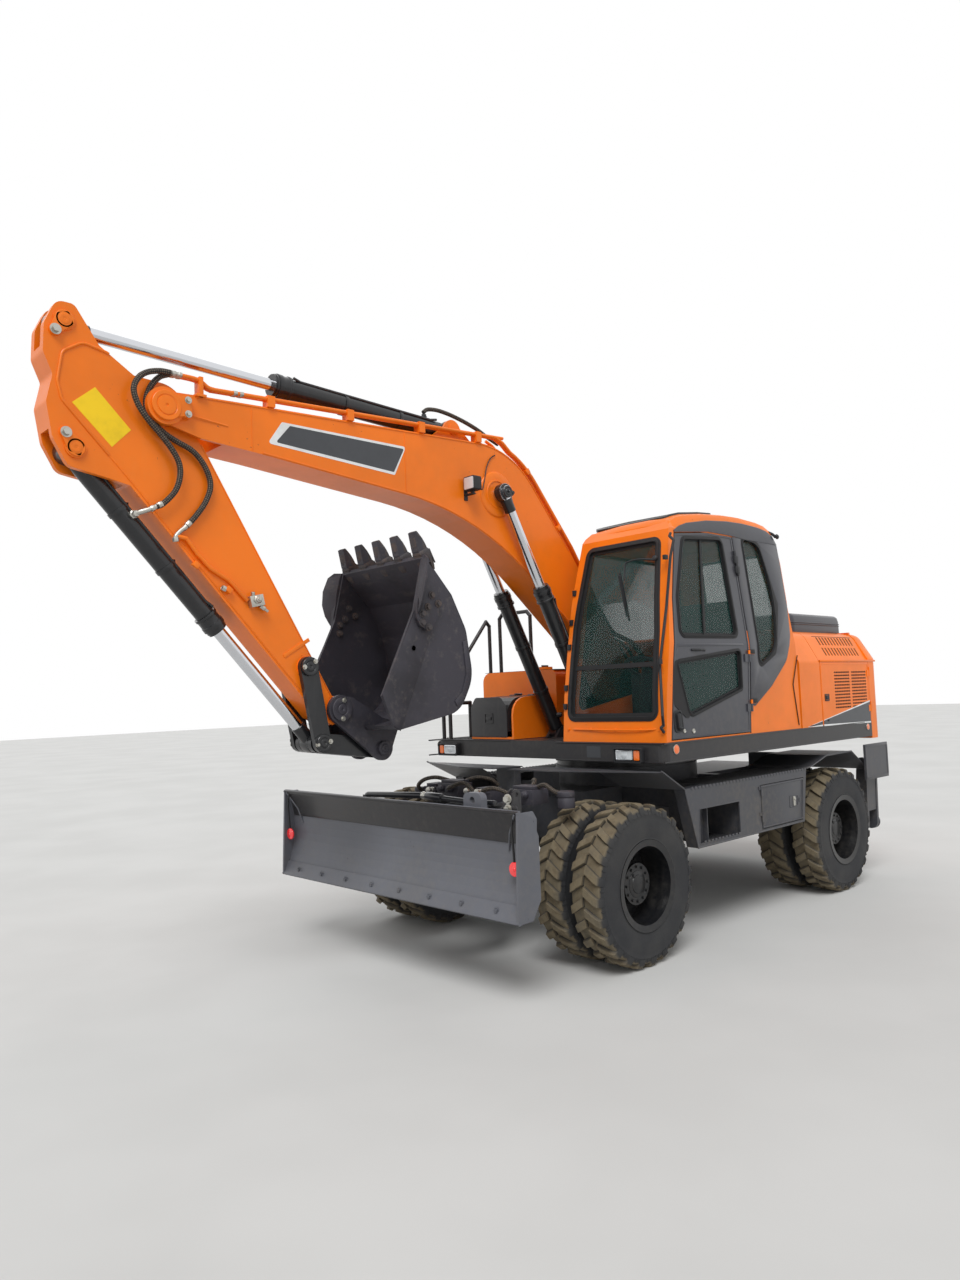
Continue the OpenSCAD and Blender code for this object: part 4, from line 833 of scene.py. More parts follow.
def wheelFittings(x, side, body, name):
    z = wheel["axleZ"]
    nut = Shape()
    nut.turned((x, side * hub["dish"], z + hub["nutCircle"]), (0, side, 0),
               [(0, -2), (19, -2), (19, 5), (15.5, 5), (15.5, 24), (11, 27), (11, 36), (0, 36)], 12)
    nut.turned((x + 12, side * (hub["dish"] - 214), z + hub["nutCircle"]), (0, -side, 0),
               [(0, 0), (15, 0), (15, 20), (0, 20)], 8)
    ringOf(nut, hub["nuts"], (x, 0, z), (0, 1, 0), name + "Nuts", "rim", body)
    cap = Shape()
    y = hub["cap"]
    cap.turned((x, side * y, z), (0, side, 0), [(135.5, -34), (138, -32), (138, -26), (135.5, -24)], 48, True)
    cap.turned((x, side * y, z), (0, side, 0), [(0, 0), (88, 0), (86, 3), (60, 5), (58, 9), (0, 10)], 48)
    cap.turned((x + 40, side * (y + 2), z + 60), (0, side, 0), [(0, 0), (11, 0), (11, 9), (0, 9)], 6)
    cap.turned((x, side * (wheel["outerY"] + 104), z), (0, side, 0),
               [(252, 0), (262, 8), (270, 8), (262, 0), (258, -4)], 64, True)
    for angle in (30, 210):
        a = radians(angle)
        inner = Vector((x + 205 * cos(a), side * (hub["dish"] + 4), z + 205 * sin(a)))
        outer = Vector((x + 238 * cos(a), side * (hub["dish"] + 46), z + 238 * sin(a)))
        cap.tube([inner, inner + Vector((0, side * 22, 0)), outer], 5, 8)
    cap.finish(name + "Cap", "rim", body, 0.6)
    turns = [radians(a * 360 / hub["capBolts"]) for a in range(hub["capBolts"])]
    bolts(name + "CapBolts", [(x + hub["capCircle"] * cos(a), side * y, z + hub["capCircle"] * sin(a))
                              for a in turns], (0, side, 0), 15, body, "rim")


for end, x in (("front", wheel["axleX"]), ("rear", -wheel["axleX"])):
    for hand, side in (("left", 1), ("right", -1)):
        tyrePair(x, side, "wheel_%s_%s" % (end, hand), "tyres_%s_%s" % (end, hand))
        wheelFittings(x, side, "wheel_%s_%s" % (end, hand), "wheel%s%s" % (end.title(), hand.title()))
print("wheels dressed")

# surfaces that plates lie on
def boomSide(side=1):
    return lambda x, z, h: (x, side * (boomForm["half"] + h), z)


def armSide(side=1):
    return lambda x, z, h: (x, side * (armForm["half"] + h), z)


def span(side, near, far):
    # the two y of a box that stands on one side of the machine
    return sorted((side * near, side * far))


def flatSide(y, side=1):
    return lambda x, z, h: (x, side * (y + h), z)


def facingX(x):
    # an upright plane across the machine
    return lambda y, z, h: (x + h, y, z)


def level(z):
    return lambda x, y, h: (x, y, z + h)


sideFolds = ((1430, 1228), (2120, 1228), (2960, 1136), (3075, 1038))
frontFolds = ((1430, 1124), (1760, 1094), (2050, 1045), (2450, 965), (2950, 843), (3030, 770))


def along(table, z):
    for (a, b), (c, d) in zip(table, table[1:]):
        if z <= c:
            return b + (z - a) / (c - a) * (d - b)
    return table[-1][1]


def cabSide():
    return lambda x, z, h: (x, along(sideFolds, z) + h, z)


rightFolds = ((1430, 296), (2500, 296), (2990, 336))


def cabRight():
    return lambda x, z, h: (x, along(rightFolds, z) - h, z)


def cabFront():
    return lambda y, z, h: (along(frontFolds, z) + h, y, z)


def cutX(outline, low, high):
    # the part of an outline between two stations
    for limit, keep in ((low, 1), (high, -1)):
        out = []
        for i, q in enumerate(outline):
            p = outline[i - 1]
            inP, inQ = keep * (p[0] - limit) >= 0, keep * (q[0] - limit) >= 0
            if inP != inQ:
                t = (limit - p[0]) / (q[0] - p[0])
                out.append((limit, p[1] + t * (q[1] - p[1])))
            if inQ:
                out.append(tuple(q[:2]))
        outline = out
    return outline


def blankPlate(name, outline, surface, body, border, finish, slotName):
    # a bare plate with a narrow border, where the machine carries a sign
    outline = cornered(outline)
    Shape().plate(outline, [], surface, 0.1, 1.0).finish(name + "Border", finish, body, slotName=slotName)
    Shape().plate(grown(outline, -border), [], surface, 0.2, 1.6).finish(name, finish, body, slotName=slotName)


# pins of the front end, (x, z)
pins = {"boomLift": (612, 1470), "boomRod": (1584, 3287), "tip": (4144, 3454), "armFoot": (1959, 3721),
        "armHead": (4653, 3828), "bucketFoot": (4602, 3161), "joint": (3159, 1544), "sideLink": (3247, 2015),
        "bucket": (3020, 1746), "bucketLink": (2705, 1485)}

# boom
boomForm = {"half": 145,
            "plate": [(3402, 3503, 14), (2439, 3507, 14), (2542, 3299, 14), (3502, 3357, 14)],
            "face": [(3346, 3489, 8), (2457, 3490, 8), (2549, 3318, 8), (3447, 3372, 8)],
            "outline": [(12, 1910), (190, 1732), (722, 2260), (1761, 3111, 2300), (3538, 3282), (3925, 3312),
                        (4120, 3360), (4140, 3545), (3957, 3556), (1408, 3668, 700), (788, 2936)]}


def boomEdge(offset, first, last):
    # a stretch of the boom's outline moved outwards, between two corners given by their x
    line = grown(cornered(boomForm["outline"], 12), offset)
    picked = [p for p in line if p[1] > 1900]
    start = min(range(len(picked)), key=lambda i: (Vector(picked[i]) - Vector(first)).length)
    stop = min(range(len(picked)), key=lambda i: (Vector(picked[i]) - Vector(last)).length)
    return picked[start:stop + 1] if start < stop else picked[stop:start + 1][::-1]


def pinBoss(shape, place, y, side, radius, depth, pin):
    # the end of a pin with its collar, grease hole and ring
    profile = [(0, -4), (radius, -4), (radius, depth - 3), (radius - 3, depth), (pin + 3, depth), (pin, depth - 3),
               (pin - 4, depth - 3), (pin - 6, depth + 1), (9, depth + 1), (6, depth - 4), (0, depth - 4)]
    return shape.turned((place[0], side * y, place[1]), (0, side, 0), profile, 36)


def blackEye(y, pin, foot, radius, half, neck, name, body):
    # the painted eye of a chrome rod with its collar
    p, q = Vector((pin[0], y, pin[1])), Vector((foot[0], y, foot[1]))
    ahead = (q - p).normalized()
    eye = Shape()
    ring = [(radius - 22, 0), (radius - 3, 0), (radius, 3), (radius, 2 * half - 3), (radius - 3, 2 * half),
            (radius - 22, 2 * half)]
    eye.turned((pin[0], y - half, pin[1]), (0, 1, 0), ring, 40, True)
    neck = neck / 2
    collar = [(half - 4, 0), (neck + 4, 0), (neck, 40), (neck, 96), (neck - 4, 100), (neck - 12, 100)]
    eye.turned(p + ahead * (radius - 14), ahead, collar, 32)
    eye.finish(name, "barrel", body, 1, slotName="chrome")


def boomPieces():
    for side, hand in hands:
        ring = Shape()
        x, z = pins["boomRod"]
        ring.turned((x, side * 145, z), (0, side, 0), [(96, 0), (172, 0), (168, 6), (160, 10), (96, 10)], 56, True)
        ring.turned((x, side * 145, z), (0, side, 0), [(94, 6), (112, 6), (108, 14), (98, 14)], 48, True)
        # edges of the top and lower plates, the seams across the side and the long gusset at the tip
        for path in (boomEdge(-9, (3957, 3556), (788, 2936)), boomEdge(-9, (722, 2260), (3538, 3282))):
            ring.tube([(px, side * 145.5, pz) for px, pz in path], 5, 6)
        for x, low, high in ((3605, 3297, 3568), (2447, 3196, 3616)):
            y0, y1 = span(side, 144, 147.5)
            ring.box((x - 3, y0, low), (x + 3, y1, high))
        ring.rings([[(3990, side * 145, 3440), (3990, side * 145, 3420), (3990, side * 160, 3430)],
                    [(3760, side * 145, 3420), (3760, side * 145, 3404), (3760, side * 148, 3412)]])
        # tip boss with its pin and the keeper plate
        pinBoss(ring, pins["tip"], 171, side, 84, 17, 58)
        ring.plate(cornered([(4120, 3500), (4096, 3520), (3998, 3536, 12), (3998, 3402, 12), (4096, 3410),
                             (4124, 3400)]), [], flatSide(145, side), 0, 27)
        ring.plate(cornered([(4144, 3520), (4046, 3524, 10), (3998, 3524, 10), (3998, 3408, 10), (4046, 3408, 10),
                             (4144, 3392)]), [], flatSide(171, side), 0, 12)
        ring.finish("boomTrim" + hand, "orange", "boom", 1.5)
        bolts("boomTipBolts" + hand, [(4020, side * 183, 3505), (4020, side * 183, 3426)], (0, side, 0), 24, "boom")
        blackEye(side * 215, pins["boomRod"], pins["boomLift"], 66.5, 31.4, 86, "boomRodEye" + hand, "boom_rods")
        cap = Shape()
        pinBoss(cap, pins["boomRod"], 261, side, 44, 10, 30)
        cap.plate(cornered([(1600, 3300), (1560, 3330), (1526, 3300, 8), (1516, 3272, 8), (1560, 3246)]), [],
                  flatSide(246, side), 0, 12)
        cap.turned((1584, side * 271, 3287), (0, side, 0), [(0, 0), (7, 0), (7, 10), (4, 14), (0, 14)], 8)
        cap.finish("boomPinCap" + hand, "barrel", "boom_rods", 1)
        bolts("boomPinBolt" + hand, [(1531, side * 258, 3287)], (0, side, 0), 20, "boom_rods", "barrel")
        edge, face = cornered(boomForm["plate"], 4), cornered(boomForm["face"], 4)
        Shape().plate(edge, [], boomSide(side), 0.1, 1.0).finish("boomPlateEdge" + hand, "plateWhite", "boom")
        Shape().plate(face, [], boomSide(side), 0.2, 1.7).finish("boomPlate" + hand, "plateDark", "boom")


def boomLinePieces():
    lines = Shape()
    back = [(1500, 3690)] + boomEdge(40, (1408, 3668), (788, 2936))
    for side in (1, -1):
        for y in (118, 146):
            head = [(3860, 3610)] if side < 0 else [(1600, 3720)]
            lines.tube([(x, side * y, z) for x, z in head + [(1570, 3719)] + back + [(400, 2440)]], 12, 12)
            if side > 0:
                lines.tube(loosePath([(3840, y, 3611), (3880, y, 3616), (3920, y, 3640), (3960, y, 3651),
                                      (4052, y, 3652)], 6), 12, 12)
    for y in (-34, 34):
        lines.tube([(x, y, z) for x, z in [(1570, 3719)] + back + [(400, 2440)]], 12, 12)
    # clamps across the back plate
    for x, z in ((1240, 3512), (905, 3105), (600, 2730)):
        for y0, y1 in ((104, 160), (-160, -104), (-48, 48)):
            lines.box((x - 20, y0, z - 24), (x + 20, y1, z + 14), (x, 0, z), -50)
    for x in (2300, 2900):
        z = 3668 - (x - 1408) * 0.04394
        lines.box((x - 25, -160, z - 2), (x + 25, -104, z + 62))
    # bracket of the line ends at the boom's tip
    lines.box((3918, 100, 3548), (3942, 166, 3664))
    lines.box((3900, 96, 3548), (3962, 168, 3564))
    lines.finish("boomHardLines", "orange", "boom", 1)
    ends = Shape()
    for y in (118, 146):
        ends.turned((4040, y, 3652), (1, 0, 0),
                    [(0, 0), (17, 0), (17, 18), (14, 20), (14, 34), (18, 36), (18, 56), (12, 58), (12, 72), (0, 72)],
                    6)
    for x, z in ((3700, 3617.8), (3660, 3619.7)):
        for y in (118, 146):
            ends.turned((x, y, z), (1, 0, -0.0487), [(12, 0), (16, 0), (16, 24), (12, 24)], 6, True)
    ends.finish("lineFittings", "zinc", "boom", 0.5)


hoseRuns = {
    "outer": [(4105, 150, 3652), (4167, 152, 3648), (4240, 154, 3624), (4292, 158, 3580), (4318, 160, 3514),
              (4296, 160, 3437), (4243, 158, 3364), (4173, 156, 3294), (4112, 152, 3228), (4066, 148, 3157),
              (4057, 144, 3081), (4083, 138, 2993), (4150, 132, 2916), (4190, 128, 2893)],
    "inner": [(4105, 118, 3652), (4160, 120, 3622), (4215, 124, 3548), (4238, 126, 3452), (4206, 128, 3369),
              (4138, 128, 3311), (4059, 128, 3273), (3978, 128, 3240), (3918, 128, 3184), (3877, 126, 3110),
              (3868, 124, 3038), (3900, 120, 2950), (3962, 118, 2862), (4012, 116, 2806)],
}


def frontHoses():
    for name, points in hoseRuns.items():
        hose = Shape().tube(loosePath(points, 6), 16, 14).finish("armHose" + name.title(), "hose")
        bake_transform(hose)
    fittings = Shape()
    fittings.tube(loosePath([(4186, 128, 2895), (4225, 124, 2876), (4262, 112, 2862), (4286, 92, 2853)], 5), 14, 12)
    fittings.turned((4166, 131, 2908), (0.86, -0.1, -0.5),
                    [(0, -10), (19, -10), (19, 14), (15, 16), (15, 40), (18, 42), (18, 60), (0, 60)], 8)
    fittings.turned((4288, 46, 2851), (0, 1, 0), [(0, 0), (25, 0), (25, 26), (18, 30), (18, 58), (0, 58)], 6)
    fittings.finish("barrelPort", "zinc", "bucket_barrel", 0.6)
    tube = Shape()
    tube.tube(arcPath([(4072, 112, 2748), (4066, 110, 2712), (3989, 109, 2613), (3901, 109, 2530), (3779, 110, 2464),
                       (3640, 110, 2406)], 60, 5), 12, 12)
    for x, z in ((3958, 2592), (3760, 2462)):
        tube.box((x - 18, 93, z - 16), (x + 18, 126, z + 16), (x, 0, z), -40)
    tube.finish("armTube", "orange", "arm", 1)
    valve = Shape()
    valve.turned((4002, 116, 2818), (0.66, -0.03, -0.75),
                 [(0, -16), (19, -16), (19, 12), (15, 14), (15, 40), (0, 40)], 8)
    valve.tube(loosePath([(4020, 116, 2798), (4050, 114, 2772), (4072, 112, 2745), (4074, 111, 2722)], 5), 13, 12)
    valve.turned((4074, 111, 2736), (-0.1, 0, -1), [(0, 0), (19, 0), (19, 22), (0, 22)], 6)
    valve.turned((3800, 110, 2474), (-0.92, 0, -0.38), [(12, 0), (17, 0), (17, 26), (12, 26)], 6, True)
    valve.box((3545, 96, 2372), (3632, 138, 2438), (3588, 0, 2404), 12)
    valve.turned((3590, 136, 2410), (0, 1, 0),
                 [(0, 0), (26, 0), (26, 12), (20, 16), (20, 26), (11, 28), (11, 38), (0, 38)], 6)
    valve.turned((3560, 118, 2376), (-0.7, 0.1, -0.5), [(0, 0), (14, 0), (14, 30), (9, 32), (9, 56), (0, 56)], 6)
    valve.turned((3608, 118, 2434), (0.1, 0.2, 1), [(0, 0), (13, 0), (13, 22), (9, 24), (0, 24)], 6)
    valve.finish("armValve", "zinc", "arm", 1)


armForm = {"half": 95,
           "panel": [(4430, 3150), (4668, 3405, 60), (4690, 3500, 60), (4664, 3660, 60), (4560, 3730, 70),
                     (4430, 3704, 60), (4289, 3590), (4144, 3560), (4144, 3300), (4330, 3060)],
           "seams": ([(4440, 3160), (4306, 3016), (3170, 1738)], [(3905, 3290), (3048, 1800)]),
           "plate": [(4498, 3503), (4309, 3305), (4413, 3195), (4617, 3399)]}


def armPieces():
    for side, hand in hands:
        trim = Shape()
        # the side panel inside the lobed head plate, with a ridge round its edge
        panel = cornered(armForm["panel"], 5)
        ridge = [p for p in panel if p[0] > 4250 and (p[1] > 3590 or p[0] > 4429)]
        trim.tube([(x, side * 96, z) for x, z in ridge[:-1]], 8, 8)
        for path in armForm["seams"]:
            trim.tube([(x, side * 95.5, z) for x, z in path], 5, 6)
        y0, y1 = span(side, 95, 99)
        trim.box((3204, y0, 2120), (3412, y1, 2144), (3308, 0, 2132), 30)
        for (x, z), (bx, bz) in ((pins["armHead"], (4700, 3762)), (pins["bucketFoot"], (4652, 3232))):
            pinBoss(trim, (x, z), 104, side, 48, 8, 32)
            up = 1 if bz > z else -1
            keeper = [(x - 44, z + up * 20), (x - 20, z - up * 46), (x + 40, z - up * 24), (bx + 30, bz, 26),
                      (bx, bz + up * 34, 24)]
            trim.plate(cornered(keeper), [], flatSide(94, side), 0, 18)
            trim.turned((bx, side * 94, bz), (0, side, 0), [(0, 0), (30, 0), (30, 16), (0, 16)], 24)
        for x, z in ((3270, 2084), (3074, 1829)):
            trim.turned((x, side * 95, z), (0, side, 0), [(0, 0), (9, 0), (9, 2), (5, 2), (5, 0.6), (0, 0.6)], 16)
        trim.finish("armTrim" + hand, "orange", "arm", 1.2)
        bolts("armKeeperBolts" + hand, [(4700, side * 110, 3762), (4652, side * 110, 3232)], (0, side, 0), 34, "arm")
    for name, side in (("armPlate", 1), ("armPlateRight", -1)):
        blankPlate(name, armForm["plate"], armSide(side), "arm", 3, "plateYellow", "orange_paint")


def linkPieces():
    for side, hand in hands:
        pinBoss(Shape(), pins["sideLink"], 137, side, 58, 22, 34).finish("sideLinkCap" + hand, "barrel", "arm", 1.2,
            slotName="cast_metal")
        ends = Shape()
        pinBoss(ends, pins["joint"], 137, side, 54, 18, 32)
        ends.plate(cornered([(3228, 1570, 16), (3176, 1600), (3110, 1560), (3120, 1500), (3200, 1500, 20)]), [],
                   flatSide(136, side), 0, 9)
        ends.finish("linkJointCap" + hand, "barrel", "side_links", 1.2, slotName="cast_metal")
        bolts("linkJointBolt" + hand, [(3205, side * 144, 1536), (3118, side * 154, 1552)], (0, side, 0),
              18, "side_links")
        bolts("sideLinkBolt" + hand, [(3292, side * 158, 2012), (3215, side * 158, 2046)], (0, side, 0), 18, "arm")
        pinBoss(Shape(), pins["bucket"], 137, side, 74, 18, 36).finish("bucketPinCap" + hand, "cast", "bucket", 1.2)
        bolts("bucketPinBolt" + hand, [(3008, side * 154, 1803), (3020, side * 154, 1688)], (0, side, 0), 20,
              "bucket")
        pinBoss(Shape(), pins["bucketLink"], 150, side, 46, 14, 28).finish("linkPinCap" + hand, "cast", "bucket", 1.2)
    neck = Shape()
    for s in (-1, 1):
        neck.box((2750, s * 46 - 8, 1494), (2880, s * 46 + 8, 1540))
    neck.tube([(2930, -60, 1512), (2930, 60, 1512)], 18, 16)
    neck.finish("linkRib", "barrel", "bucket_link", 2, slotName="cast_metal")


bucketForm = {"teeth": 5, "width": 900, "lip": (2551, 2751), "lean": 28,
              "tip": ((-6, -37, 44, 33), (30, -36, 40, 33), (70, -31, 30, 32), (104, -20, 19, 33), (126, -12, 13, 33),
                      (131, -9, 12, 33)),
              "holder": ((-150, -36, -20, 22), (-120, -40, -16, 30), (-60, -44, -14, 37), (-20, -44, 48, 40),
                         (-4, -41, 46, 37), (2, -36, 40, 34)),
              "upperHolder": ((-118, 20, 34, 20), (-90, 18, 44, 30), (-40, 18, 48, 36), (-18, 18, 44, 35)),
              "cutter": [(2584, 2700), (2660, 2400), (2667, 2300), (2646, 2254), (2587, 2226), (2532, 2245),
                         (2489, 2330), (2470, 2402), (2500, 2550)],
              "bolts": [(2542, 2452), (2490, 2399), (2577, 2374), (2624, 2331), (2627, 2272), (2575, 2244)]}


def bucketBack(y, share, h):
    # down the back of the bucket from its lip
    return (2490 - 146 * share - h * 0.72, y, 2622 - 162 * share + h * 0.64)


def bucketPieces():
    tips, holders = Shape(), Shape()
    n = bucketForm["teeth"]
    for i in range(n):
        y = (i / (n - 1) - 0.5) * (bucketForm["width"] - 110)
        x0, z0 = bucketForm["lip"]

        def put(u, w, v, y=y):
            a = radians(bucketForm["lean"])
            return Vector((x0 + u * cos(a) + v * sin(a), y + w, z0 - u * sin(a) + v * cos(a)))

        def block(shape, rows, taper=1.0):
            # sections (height, low, high, half width) from the lip towards the point
            shape.rings([[put(low, -w, v), put(high, -w * taper, v), put(high, w * taper, v), put(low, w, v)]
                         for v, low, high, w in rows])

        block(tips, bucketForm["tip"], 0.92)
        tips.rings([[put(-40, -8, 26), put(-30, 8, 26), put(-30, 8, 44), put(-40, -8, 44)],
                    [put(44, -8, 26), put(40, 8, 26), put(40, 8, 44), put(44, -8, 44)]])
        block(holders, bucketForm["holder"])
        block(holders, bucketForm["upperHolder"])
        for w in (-36, 36):
            holders.tube([put(-44, w, -110), put(-44, w, -10)], 6, 6)
    tips.finish("toothTips", "tooth", "bucket", 3)
    holders.finish("toothHolders", "tooth", "bucket", 2.5)
    trim = Shape()
    for side in (1, -1):
        face = flatSide(450, side)
        # long doubler along the mouth, the corner wear plate and the side cutter with its flared wing
        trim.plate(cornered([(2584, 2690), (2664, 2340), (2938, 1830), (2862, 1640), (2806, 1600), (2493, 2295),
                             (2440, 2420)]), [], face, 0, 5)
        trim.plate(cornered([(x, z, 18) for x, z in bucketForm["cutter"]], 4), [], face, 17, 32)
        rings = []
        for x, z, reach in ((2660, 2330, 20), (2668, 2400, 70), (2668, 2480, 102), (2652, 2580, 112),
                            (2624, 2676, 86), (2604, 2706, 34)):
            inner, outer = side * 451, side * (468 + reach)
            rings.append([(x - 46, inner, z - 6), (x - 8, outer, z), (x + 6, outer, z + 2), (x - 28, inner, z - 2)])
        trim.rings(rings)
        trim.plate(cornered([(2230, 2170), (2200, 1940), (2250, 1800), (2330, 1735), (2350, 1770), (2280, 1830),
                             (2240, 1950), (2262, 2160)]), [], face, 0, 8)
        trim.turned((2682, side * 450, 2112), (0, side, 0), [(0, 5), (17, 5), (17, 8), (20, 8), (20, 4), (0, 4)], 20)
    # wear strips on the back
    for y0, y1 in ((-445, -385), (385, 445)):
        trim.plate([(y0, 0), (y1, 0), (y1, 1), (y0, 1)], [], bucketBack, 0, 10)
    trim.finish("bucketTrim", "cast", "bucket", 1.5)
    spots = bucketForm["bolts"]
    for side, hand in hands:
        bolts("cutterBolts" + hand, [(x, side * 482, z) for x, z in spots], (0, side, 0), 30, "bucket", "tooth")
        bolts("cutterNuts" + hand, [(x, side * 429, z) for x, z in spots[:5]], (0, -side, 0), 30, "bucket", "tooth")


def cylinderTrim(name, foot, head, y, body, length, od, ports):
    # gland bolts, bands and a hard line along a barrel; foot and head are pins
    a, b = Vector((foot[0], y, foot[1])), Vector((head[0], y, head[1]))
    ahead = (b - a).normalized()
    up = Vector((0, 1, 0)).cross(ahead) * (1 if ahead.x > 0 else -1)
    if up.z < 0:
        up = -up
    out = Vector((0, 1, 0))

    def put(s, across, high):
        return a + ahead * s + out * across + up * high

    trim = Shape()
    r = od / 2
    gland = length - 110
    trim.turned(a + ahead * gland, ahead, [(r + 4, 0), (r + 13, 0), (r + 13, 16), (r + 8, 19), (r + 8, 60),
                                           (r + 12, 62), (r + 12, 92), (r + 4, 94)], 40, True)
    for s in (0.3, 0.62):
        trim.turned(a + ahead * (length * s), ahead, [(r - 1, 0), (r + 5, 0), (r + 5, 26), (r - 1, 26)], 40, True)
        trim.box(tuple(put(length * s, -16, r + 2)), tuple(put(length * s + 26, 16, r + 2)))
    for s, across, high in ports:
        trim.turned(put(s, across * 0.6, high * 0.6), (out * across + up * high),
                    [(0, 0), (22, 0), (22, 46), (18, 48), (18, 60), (0, 60)], 8)
    side = 1 if y >= 0 else -1
    line = [put(120, side * (r - 10), r - 6), put(170, side * (r - 6), r + 10),
            put(gland - 60, side * (r - 6), r + 10), put(gland - 10, side * (r - 14), r - 4)]
    trim.tube(arcPath(line, 30, 5), 9, 10)
    trim.finish(name + "Trim", "barrel", body, 0.8)
    turns = [radians(a * 45 + 22) for a in range(8)]
    bolts(name + "GlandBolts", [tuple(put(gland + 94, (r + 2) * sin(t) * 0.9, (r + 2) * cos(t) * 0.9))
                                for t in turns], tuple(ahead), 11, body, "barrel")


cylinders = [
    ("armCylinder", pins["armFoot"], pins["armHead"], 0, "arm_barrel", 1417, 132, [(190, 0, 62)]),
    ("bucketCylinder", pins["bucketFoot"], pins["joint"], 0, "bucket_barrel", 1230, 112, []),
    ("boomCylinderLeft", pins["boomLift"], pins["boomRod"], 215, "boom_barrels", 1284, 116, [(150, -50, 20)]),
    ("boomCylinderRight", pins["boomLift"], pins["boomRod"], -215, "boom_barrels", 1284, 116, [(150, 50, 20)]),
]


backRoute = [(2150, 0, 3840), (2110, 0, 3868), (2030, 0, 3880), (1940, 0, 3876), (1850, 2, 3862), (1750, 14, 3834),
             (1650, 28, 3796), (1560, 34, 3756), (1440, 34, 3716)]
footRoute = [(400, 2440), (340, 2362), (260, 2285), (140, 2246), (0, 2200), (-110, 2110), (-170, 1980), (-190, 1800),
             (-190, 1640), (-200, 1500), (-210, 1428)]


def backHoses():
    # from the arm cylinder's base port over its foot to the lines on the boom's back
    hose = Shape().tube(loosePath(backRoute, 5), 15, 12).finish("armCylinderHose", "hose")
    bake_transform(hose)
    # six hoses from the lower ends of the lines down to the deck
    for y, name in ((-34, "B"), (118, "C"), (146, "D"), (-118, "E"), (-146, "F"), (34, "G")):
        foot = Shape().tube(loosePath([(x, y, z) for x, z in footRoute], 5), 14,
                            12).finish("boomFootHose" + name, "hose")
        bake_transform(foot)


work = {"place": (1900, 222, 3312), "size": (70, 110, 100)}


blackEye(0, pins["armHead"], pins["armFoot"], 71.5, 42.4, 86, "armRodEye", "arm_rod")
blackEye(0, pins["joint"], pins["bucketFoot"], 61.5, 40.4, 86, "bucketRodEye", "bucket_rod")


def boomLight():
    x, y, z = work["place"]
    a, b, c = (s / 2 for s in work["size"])
    case = Shape()
    case.plate(rounded(y - b, z - c, y + b, z + c, 12), [],
               facingX(x - a), 0, 2 * a)
    for k in range(5):
        case.box((x - a - 14, y - b + 8 + k * 21, z - c + 10), (x - a + 1, y - b + 14 + k * 21, z + c - 10))
    case.box((x - 16, 145, z - c - 26), (x + 16, y + 16, z - c - 18))
    case.box((x - 16, 143, z - c - 60), (x + 16, 152, z - c + 20))
    case.box((x - 10, y - 12, z - c - 22), (x + 10, y + 12, z - c + 2))
    case.tube(loosePath([(x - 40, y - 10, z - 20), (x - 100, y - 30, z - 10), (1753, 170, 3300), (1714, 156, 3380),
                         (1685, 154, 3480), (1640, 152, 3550), (1590, 150, 3584)], 6), 4, 8)
    case.finish("boomLampCase", "plastic", "boom", 1.2)
    lens = Shape().plate(rounded(y - b + 8, z - c + 8, y + b - 8, z + c - 8, 8), [],
                         facingX(x + a - 2), 0, 6)
    lens.finish("boomLampLens", "lens", "boom", 1)


boomPieces()
boomLinePieces()
frontHoses()
armPieces()
linkPieces()
bucketPieces()
for row in cylinders:
    cylinderTrim(*row)
backHoses()
boomLight()
print("front end dressed")


# cab
cab = {"door": [(1066, 1440), (1000, 1990), (925, 2440), (786, 2925), (330, 2972), (-5, 2972),
                (-20, 2000), (25, 1440)],
       "upper": [(895, 2160, 60), (862, 2450), (690, 2900, 70), (150, 2940, 60), (120, 2170, 60)],
       "lower": [(970, 1990, 40), (110, 2080, 40), (110, 1770, 30), (830, 1590, 60)],
       "quarter": [(-140, 2980, 40), (-400, 2950, 60), (-560, 2450, 60), (-420, 2050, 60), (-150, 1930, 40)],
       "front": [(348, 1590, 60), (1148, 1590, 60), (1128, 2200), (1068, 2890, 60), (406, 2890, 60), (352, 2300)],
       "rear": [(406, 2080, 50), (1108, 2080, 50), (1038, 2880, 50), (446, 2880, 50)],
       "right": [(1000, 1640, 60), (-560, 1900, 60), (-460, 2860, 60), (740, 2880, 60)],
       "rearPanel": [(-28, 2000), (1, 1650), (-60, 1640), (-330, 1790, 200), (-590, 1990, 200), (-690, 2200, 160),
                     (-716, 2437, 200), (-710, 2800, 200), (-700, 2966), (-9, 2966)],
       "sideFolds": (2120, 2960), "frontFolds": (1760, 2050, 2450),
       "quarterRound": [(-140, 2980, 60), (-400, 2950, 130), (-560, 2450, 900), (-420, 2050, 260), (-150, 1930, 60)],
       "lowerBorder": [(1000, 1925, 20), (986, 1984, 14), (955, 1998, 10), (826, 1584, 20), (880, 1590, 30),
                       (1024, 1690, 30)]}
# top of the crowned roof and the arc where the dark side panel ends, by x
crown = {"top": ((-700, 3040), (-655, 3094), (-560, 3126), (-430, 3142), (-190, 3152), (40, 3146), (330, 3124),
                 (600, 3090), (700, 3066), (790, 3020)),
         "arc": ((-700, 2990), (-655, 3036), (-560, 3068), (-430, 3084), (-190, 3092), (40, 3086), (330, 3062),
                 (600, 3016), (700, 2985), (790, 2940)),
         "foot": ((-715, 2962), (-190, 2962), (40, 2974), (330, 2974), (786, 2928)),
         "stations": (-716, -700, -655, -560, -430, -190, 40, 330, 600, 700, 775, 800)}
rearFolds = ((1430, -777), (2000, -765), (2437, -725), (2800, -640), (3016, -539))


def cabRear():
    return lambda y, z, h: (along(rearFolds, z) - h, y, z)


